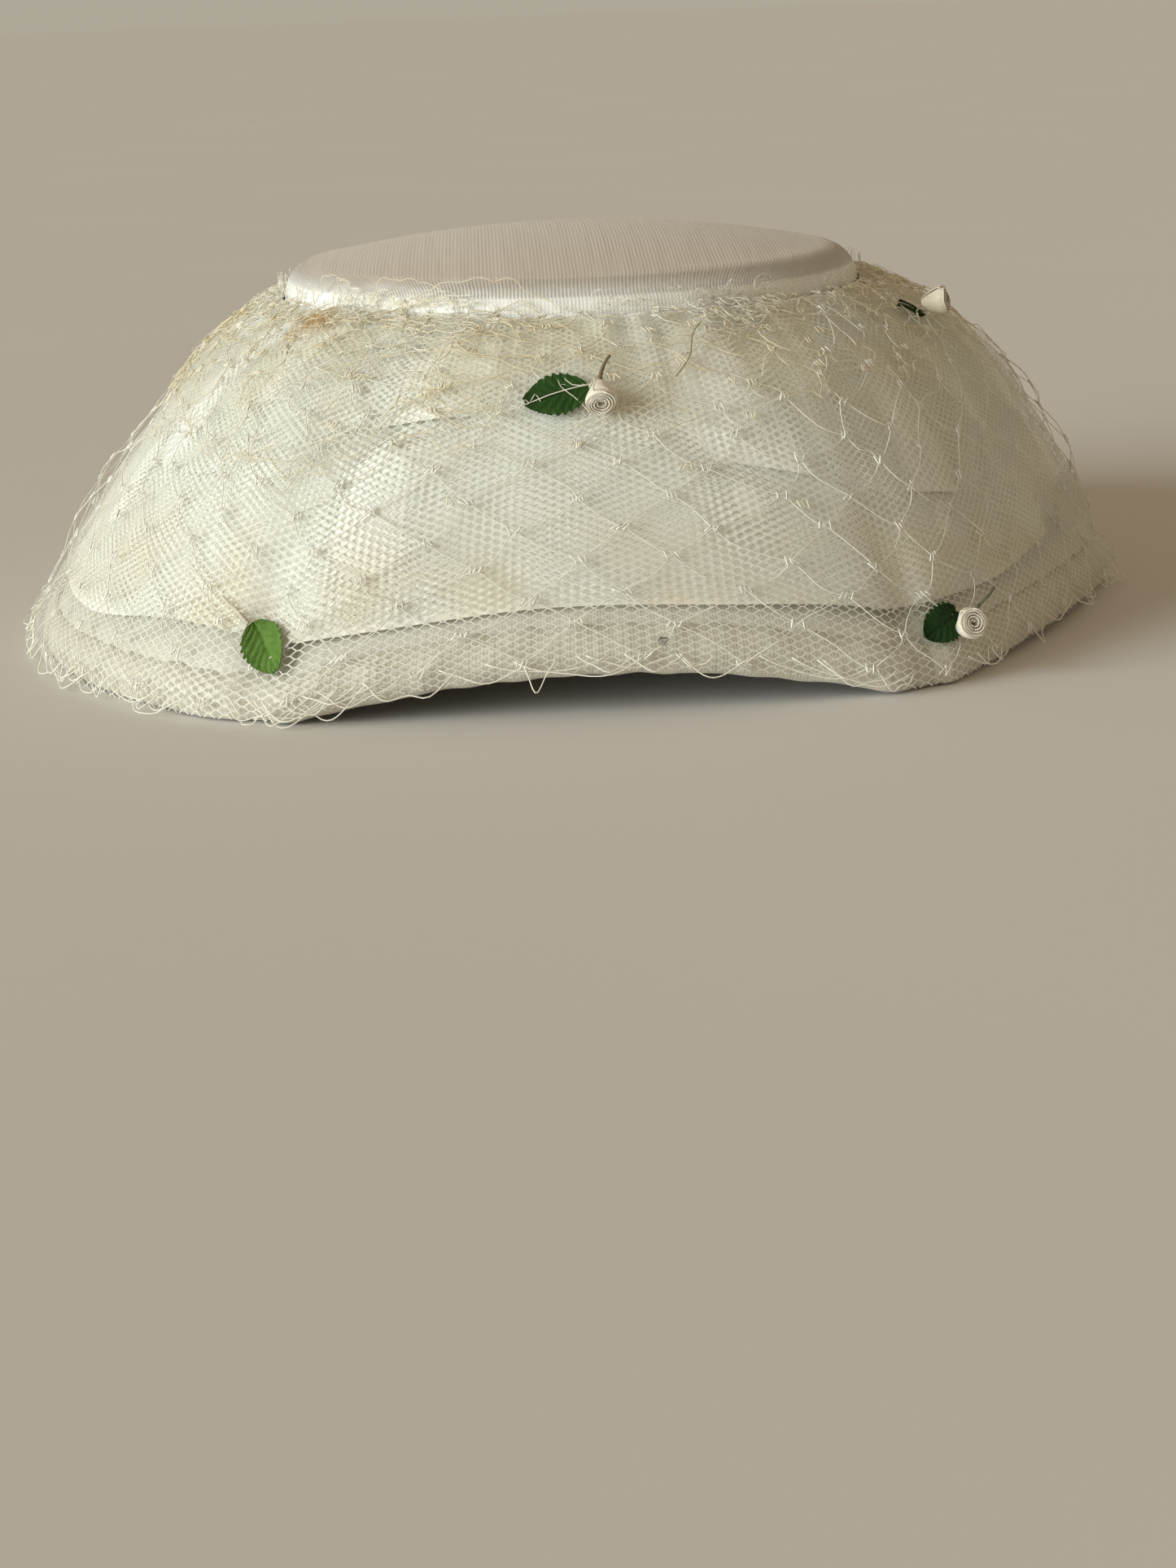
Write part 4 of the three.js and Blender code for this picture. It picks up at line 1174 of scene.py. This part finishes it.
def edge_loops(tulle, rng):
    """Loops of thread that hang free of the edge."""
    count, steps = 120, 15
    turn = rng.uniform(0, LOBES, count)[:, None]
    width = rng.uniform(0.04, 0.19, count)[:, None]
    share = shares(steps)
    sag = np.sin(np.pi * share)
    place_turn = turn + width * (share - 0.5)
    base = tulle.at(place_turn, 0.965 + 0.02 * sag, 0.5)
    outward = unit(base * np.array([1, 1, 0]))
    bends = share * rng.uniform(4, 12, (count, 1)) + rng.uniform(0, 6, (count, 1))
    sag = sag * (1 + 0.35 * np.sin(bends))
    hang = rng.uniform(0.5, 4.5, count)[:, None] * sag
    stand = rng.uniform(0.5, 4, count)[:, None] * sag
    paths = base + outward * stand[..., None]
    paths[..., 2] = np.maximum(paths[..., 2] - hang, LOWEST)
    return tubes(paths, LOOP_RADIUS)


# Trims.

# Each leaf's direction and share of the way down, how it is turned, its length and width as shares
# of the usual ones, how ragged it is, and its light and dark greens.
LEAVES = [
    ("leaf_front", -4, 0.293, 194, 0.92, 1.04, 1.0, (0.055, 0.15, 0.02), (0.012, 0.05, 0.006)),
    ("leaf_left", -33.3, 0.848, -48, 0.86, 0.98, 0.9, (0.27, 0.43, 0.10), (0.06, 0.16, 0.018)),
    ("leaf_right", 36.3, 0.88, 200, 0.72, 0.84, 1.3, (0.03, 0.1, 0.02), (0.006, 0.035, 0.006)),
    ("leaf_side", 66.8, 0.158, -50, 0.5, 0.5, 2.5, (0.03, 0.08, 0.02), (0.008, 0.03, 0.006)),
]
# Each bud's direction and share of the way down, and its tip down and to the side in degrees.
BUDS = [
    ("bud_front", 1.6, 0.277, 70, -6),
    ("bud_right", 38.4, 0.902, 0, -24),
    ("bud_side", 71.5, 0.17, 48, -6),
]
# Each stem's start, how it is turned, its length and bend, how far its end stands off, and colours.
STEMS = [
    ("stem_left", "leaf_left", 140, 11, -1.5, 0.3, (0.75, 0.70, 0.58), (0.55, 0.50, 0.38)),
    ("stem_front", "bud_front", 84, 7.5, 2.5, 1.2, (0.30, 0.22, 0.13), (0.16, 0.11, 0.06)),
    ("stem_right", "bud_right", 24, 12.5, -0.5, 5.5, (0.20, 0.20, 0.11), (0.11, 0.11, 0.06)),
]
PLACES = {row[0]: row for row in LEAVES + BUDS}
# How long the tulle is from the crown to its edge, where the trims lie.
PLACE_LENGTH = 126


def place_frame(tulle, around, down):
    """The point, outward normal, and directions round and up the hat at a place on the tulle."""
    turn = turn_toward(around)
    point = tulle.at(turn, down)
    normal = unit(tulle.at(turn, down, 1.0) - point)
    direction = math.radians(around)
    sideways = np.array([math.cos(direction), math.sin(direction), 0])
    return point, normal, sideways, unit(np.cross(normal, sideways))


def on_tulle(tulle, around, down, right, up, lift):
    """Points that lie right and up of a place, measured on the tulle."""
    point, _, _, _ = place_frame(tulle, around, down)
    radius = math.hypot(point[0], point[1])
    turn = turn_toward(np.degrees(right / radius) + around)
    return tulle.at(turn, down - up / PLACE_LENGTH, lift)


def build_leaf(tulle, name, around, down, turned, long, broad, ragged, light, dark):
    rows, columns = 96, 23
    along = shares(rows).T
    across = np.linspace(-1, 1, columns)[None, :]
    teeth = ragged * (0.12 * ((along * 8.5) % 1) - 0.06 + 0.03 * np.sin(along * 61))
    outline = np.clip(np.sin(np.pi * (0.05 + 0.92 * along**0.9)), 0, 1) ** 0.72
    half = broad * LEAF_WIDTH / 2 * outline * (0.98 + teeth)
    side = half * across
    run = long * LEAF_LENGTH * (along - 0.5) + 0.5 * np.abs(across) * long
    angle = math.radians(turned)
    right = run * math.cos(angle) - side * math.sin(angle)
    up = run * math.sin(angle) + side * math.cos(angle)
    midrib = -0.6 * hump(across, 0, 0.08)
    vein_phase = along * 6.5 - np.abs(across) * 2.0
    veins = 0.42 * (np.abs((vein_phase % 1) - 0.5) * 4 - 1) * np.abs(across) ** 0.5 * (1 - across**4)
    cupped = 0.7 * across**2 + 0.35 * np.sin(3 * along) + 0 * along
    lift = GAP + 0.6 + cupped + midrib + veins
    faces = (on_tulle(tulle, around, down, right, up, lift - depth) for depth in (0, LEAF_THICKNESS))
    green = leaf_paint(f"{name}_green", light, dark)
    make_piece(f"{name}_cloth", thin_shell(*faces), green, "leaf_cloth", name)


def bud_axes(tulle, around, down, tip, aside):
    point, normal, sideways, up = place_frame(tulle, around, down)
    down, aside = math.tan(math.radians(tip)), math.tan(math.radians(aside))
    axis = unit(normal - up * down + sideways * aside)
    lean = math.acos(float(np.clip(axis @ normal, -1, 1)))
    reach = BUD_DIAMETER / 2
    dip = max(BUD_BASE * reach * math.sin(lean), reach * math.sin(lean) - BUD_LENGTH * math.cos(lean))
    right = unit(np.cross(up, axis))
    return point + normal * (GAP + dip), right, np.cross(axis, right), axis


def build_bud(tulle, name, around, down, tip, aside, material):
    """A ribbon rolled up, wider at its face than at its base."""
    base, right, up, axis = bud_axes(tulle, around, down, tip, aside)
    turns, steps, levels, ribbon = 4.3, 200, 12, 0.62
    share = shares(steps).T
    angle = share * turns * 2 * np.pi
    radius = BUD_CORE * 0.4 + (BUD_DIAMETER / 2 - BUD_CORE * 0.4 - ribbon) * share**0.92
    height = shares(levels)
    rng = np.random.default_rng(91 + len(name))
    ragged = 0.25 * np.sin(angle * 2.3 + rng.uniform(0, 6)) + 0.2 * np.sin(angle * 5.1)
    top = BUD_LENGTH * (0.93 + 0.07 * np.sin(np.pi * share)) - 0.5 * (share > 0.97)
    lengthwise = height * (top + 0.35 * ragged * height)
    widen = mix(BUD_BASE, 1.0, np.minimum(height * 1.25, 1) ** 0.8)
    widen = widen - 3.0 * np.clip(height - 0.82, 0, 1) ** 2
    sheets = []
    for shift in (ribbon, 0.0):
        r = (radius + shift) * widen
        sideways = right * (r * np.cos(angle))[..., None]
        upward = up * (r * np.sin(angle))[..., None]
        sheets.append(base + sideways + upward + axis * (lengthwise + 0 * r)[..., None])
    make_piece(f"{name}_ribbon", thin_shell(*sheets, flipped=True), material, "bud_ribbon", name)


def build_stem(tulle, name, start_piece, turned, length, bend, stand, light, dark):
    """A taped wire beside a leaf or bud, whose end may stand off the cloth."""
    row = PLACES[start_piece]
    reach = row[4] * LEAF_LENGTH if start_piece.startswith("leaf") else BUD_BASE * BUD_DIAMETER
    angle = math.radians(turned)
    share = np.linspace(0, 1, 26)
    run = (reach + STEM_DIAMETER) / 2 + GAP - 0.8 + share * (length + 0.8)
    aside = bend * share * share
    right = run * math.cos(angle) + aside * math.sin(angle)
    up = run * math.sin(angle) - aside * math.cos(angle)
    lift = GAP + STEM_DIAMETER / 2 + 0.15 + 0.25 * np.sin(share * 9) + stand * share**1.3
    path = on_tulle(tulle, row[1], row[2], right, up, lift)
    radius = STEM_DIAMETER / 2 * (1 + 0.1 * np.sin(share * 70)) * mix(1.0, 0.75, share)
    radius = radius + 0.35 * np.exp(-share / 0.12)
    wire = tubes(path[None], radius[None], sides=10)
    make_piece(f"{name}_wire", wire, tape_paint(f"{name}_tape", light, dark), "stem_tape", name)


def build_trims(tulle):
    for leaf in LEAVES:
        build_leaf(tulle, *leaf)
    ribbon = ribbon_paint("rolled_ribbon")
    for bud in BUDS:
        build_bud(tulle, *bud, ribbon)
    for stem in STEMS:
        build_stem(tulle, *stem)


# Stage, light and camera.

PHOTO_HEIGHT, PHOTO_FOCAL = 1927, 3383
CAMERA_SIDE, CAMERA_BACK, CAMERA_HEIGHT = -0.12, -900, 192
CAMERA_PITCH, CAMERA_ROLL, HAT_YAW = 15.9, 2.05, 1.75
FLOOR_SIZE, FLOOR_LEVEL = 40000, -0.8
# Light all round: its colours at the horizon and above, and the height from which the second is full.
HORIZON_LIGHT, UPPER_LIGHT, UPPER_FROM = (0.425, 0.39, 0.318), (0.32, 0.252, 0.168), 0.35
WINDOW_LIGHT = (0.93, 1.0, 0.98)


def build_stage():
    paint = Paint("floor", 1.0, specular=0.0)
    paint.colour(paint.blend(paint.noise(3.0, 2.0), (0.75, 0.73, 0.71), (0.78, 0.76, 0.74)))
    corners = np.array([[-1, -1], [1, -1], [1, 1], [-1, 1]]) * FLOOR_SIZE
    points = np.column_stack([corners, np.full(4, FLOOR_LEVEL)])
    floor = make_mesh("floor", points, [np.array([[0, 1, 2, 3]])], paint.material)


def soft_light(name, aside, height, breadth, power, colour):
    """Broad even light from a direction: degrees from the front, degrees up, and its own breadth."""
    data = bpy.data.lights.new(name, "SUN")
    data.angle = math.radians(breadth)
    data.energy = power
    data.color = colour
    aside, height = math.radians(aside), math.radians(height)
    level = math.cos(height)
    back = np.array([math.sin(aside) * level, -math.cos(aside) * level, math.sin(height)])
    side = unit(np.cross([0, 0, 1], back))
    axes = Matrix(np.column_stack([side, np.cross(back, side), back])).to_4x4()
    add_object(name, data).matrix_world = Matrix.Translation(back * 3) @ axes


def build_light():
    world = bpy.data.worlds.new("studio")
    nodes = Nodes(world)
    _, _, up = nodes.parts(nodes.node("TexCoord").outputs["Generated"])
    colour = nodes.blend(nodes.within(up, 0.0, UPPER_FROM), HORIZON_LIGHT, UPPER_LIGHT)
    nodes.link(colour, nodes.tree.nodes["Background"].inputs["Color"])
    bpy.context.scene.world = world
    bpy.context.scene.view_settings.view_transform = "Standard"
    soft_light("window", -62, 13, 36, 3.4, WINDOW_LIGHT)


def build_camera():
    pitch, roll, yaw = (math.radians(a) for a in (CAMERA_PITCH, CAMERA_ROLL, HAT_YAW))
    forward = np.array([0, math.cos(pitch), -math.sin(pitch)])
    right = np.array([1.0, 0, 0])
    up = np.cross(right, forward)
    rolled_right = math.cos(roll) * right - math.sin(roll) * up
    rolled_up = math.sin(roll) * right + math.cos(roll) * up
    sin, cos = math.sin(yaw), math.cos(yaw)
    turned = np.array([[cos, sin, 0], [-sin, cos, 0], [0, 0, 1]])
    axes = turned @ np.column_stack([rolled_right, rolled_up, -forward])
    place = turned @ np.array([CAMERA_SIDE, CAMERA_BACK, CAMERA_HEIGHT]) * MM
    data = bpy.data.cameras.new("camera")
    data.sensor_width = 36
    data.lens = PHOTO_FOCAL / PHOTO_HEIGHT * data.sensor_width
    data.clip_start = 0.01
    camera = add_object("camera", data)
    camera.matrix_world = Matrix.Translation(place) @ Matrix(axes).to_4x4()
    bpy.context.scene.camera = camera


build_camera()
build_light()
build_stage()
build_crown()
build_brim()
build_roll()
build_swathe()
top_tulle = build_tulle()
build_veil(top_tulle)
build_trims(top_tulle)
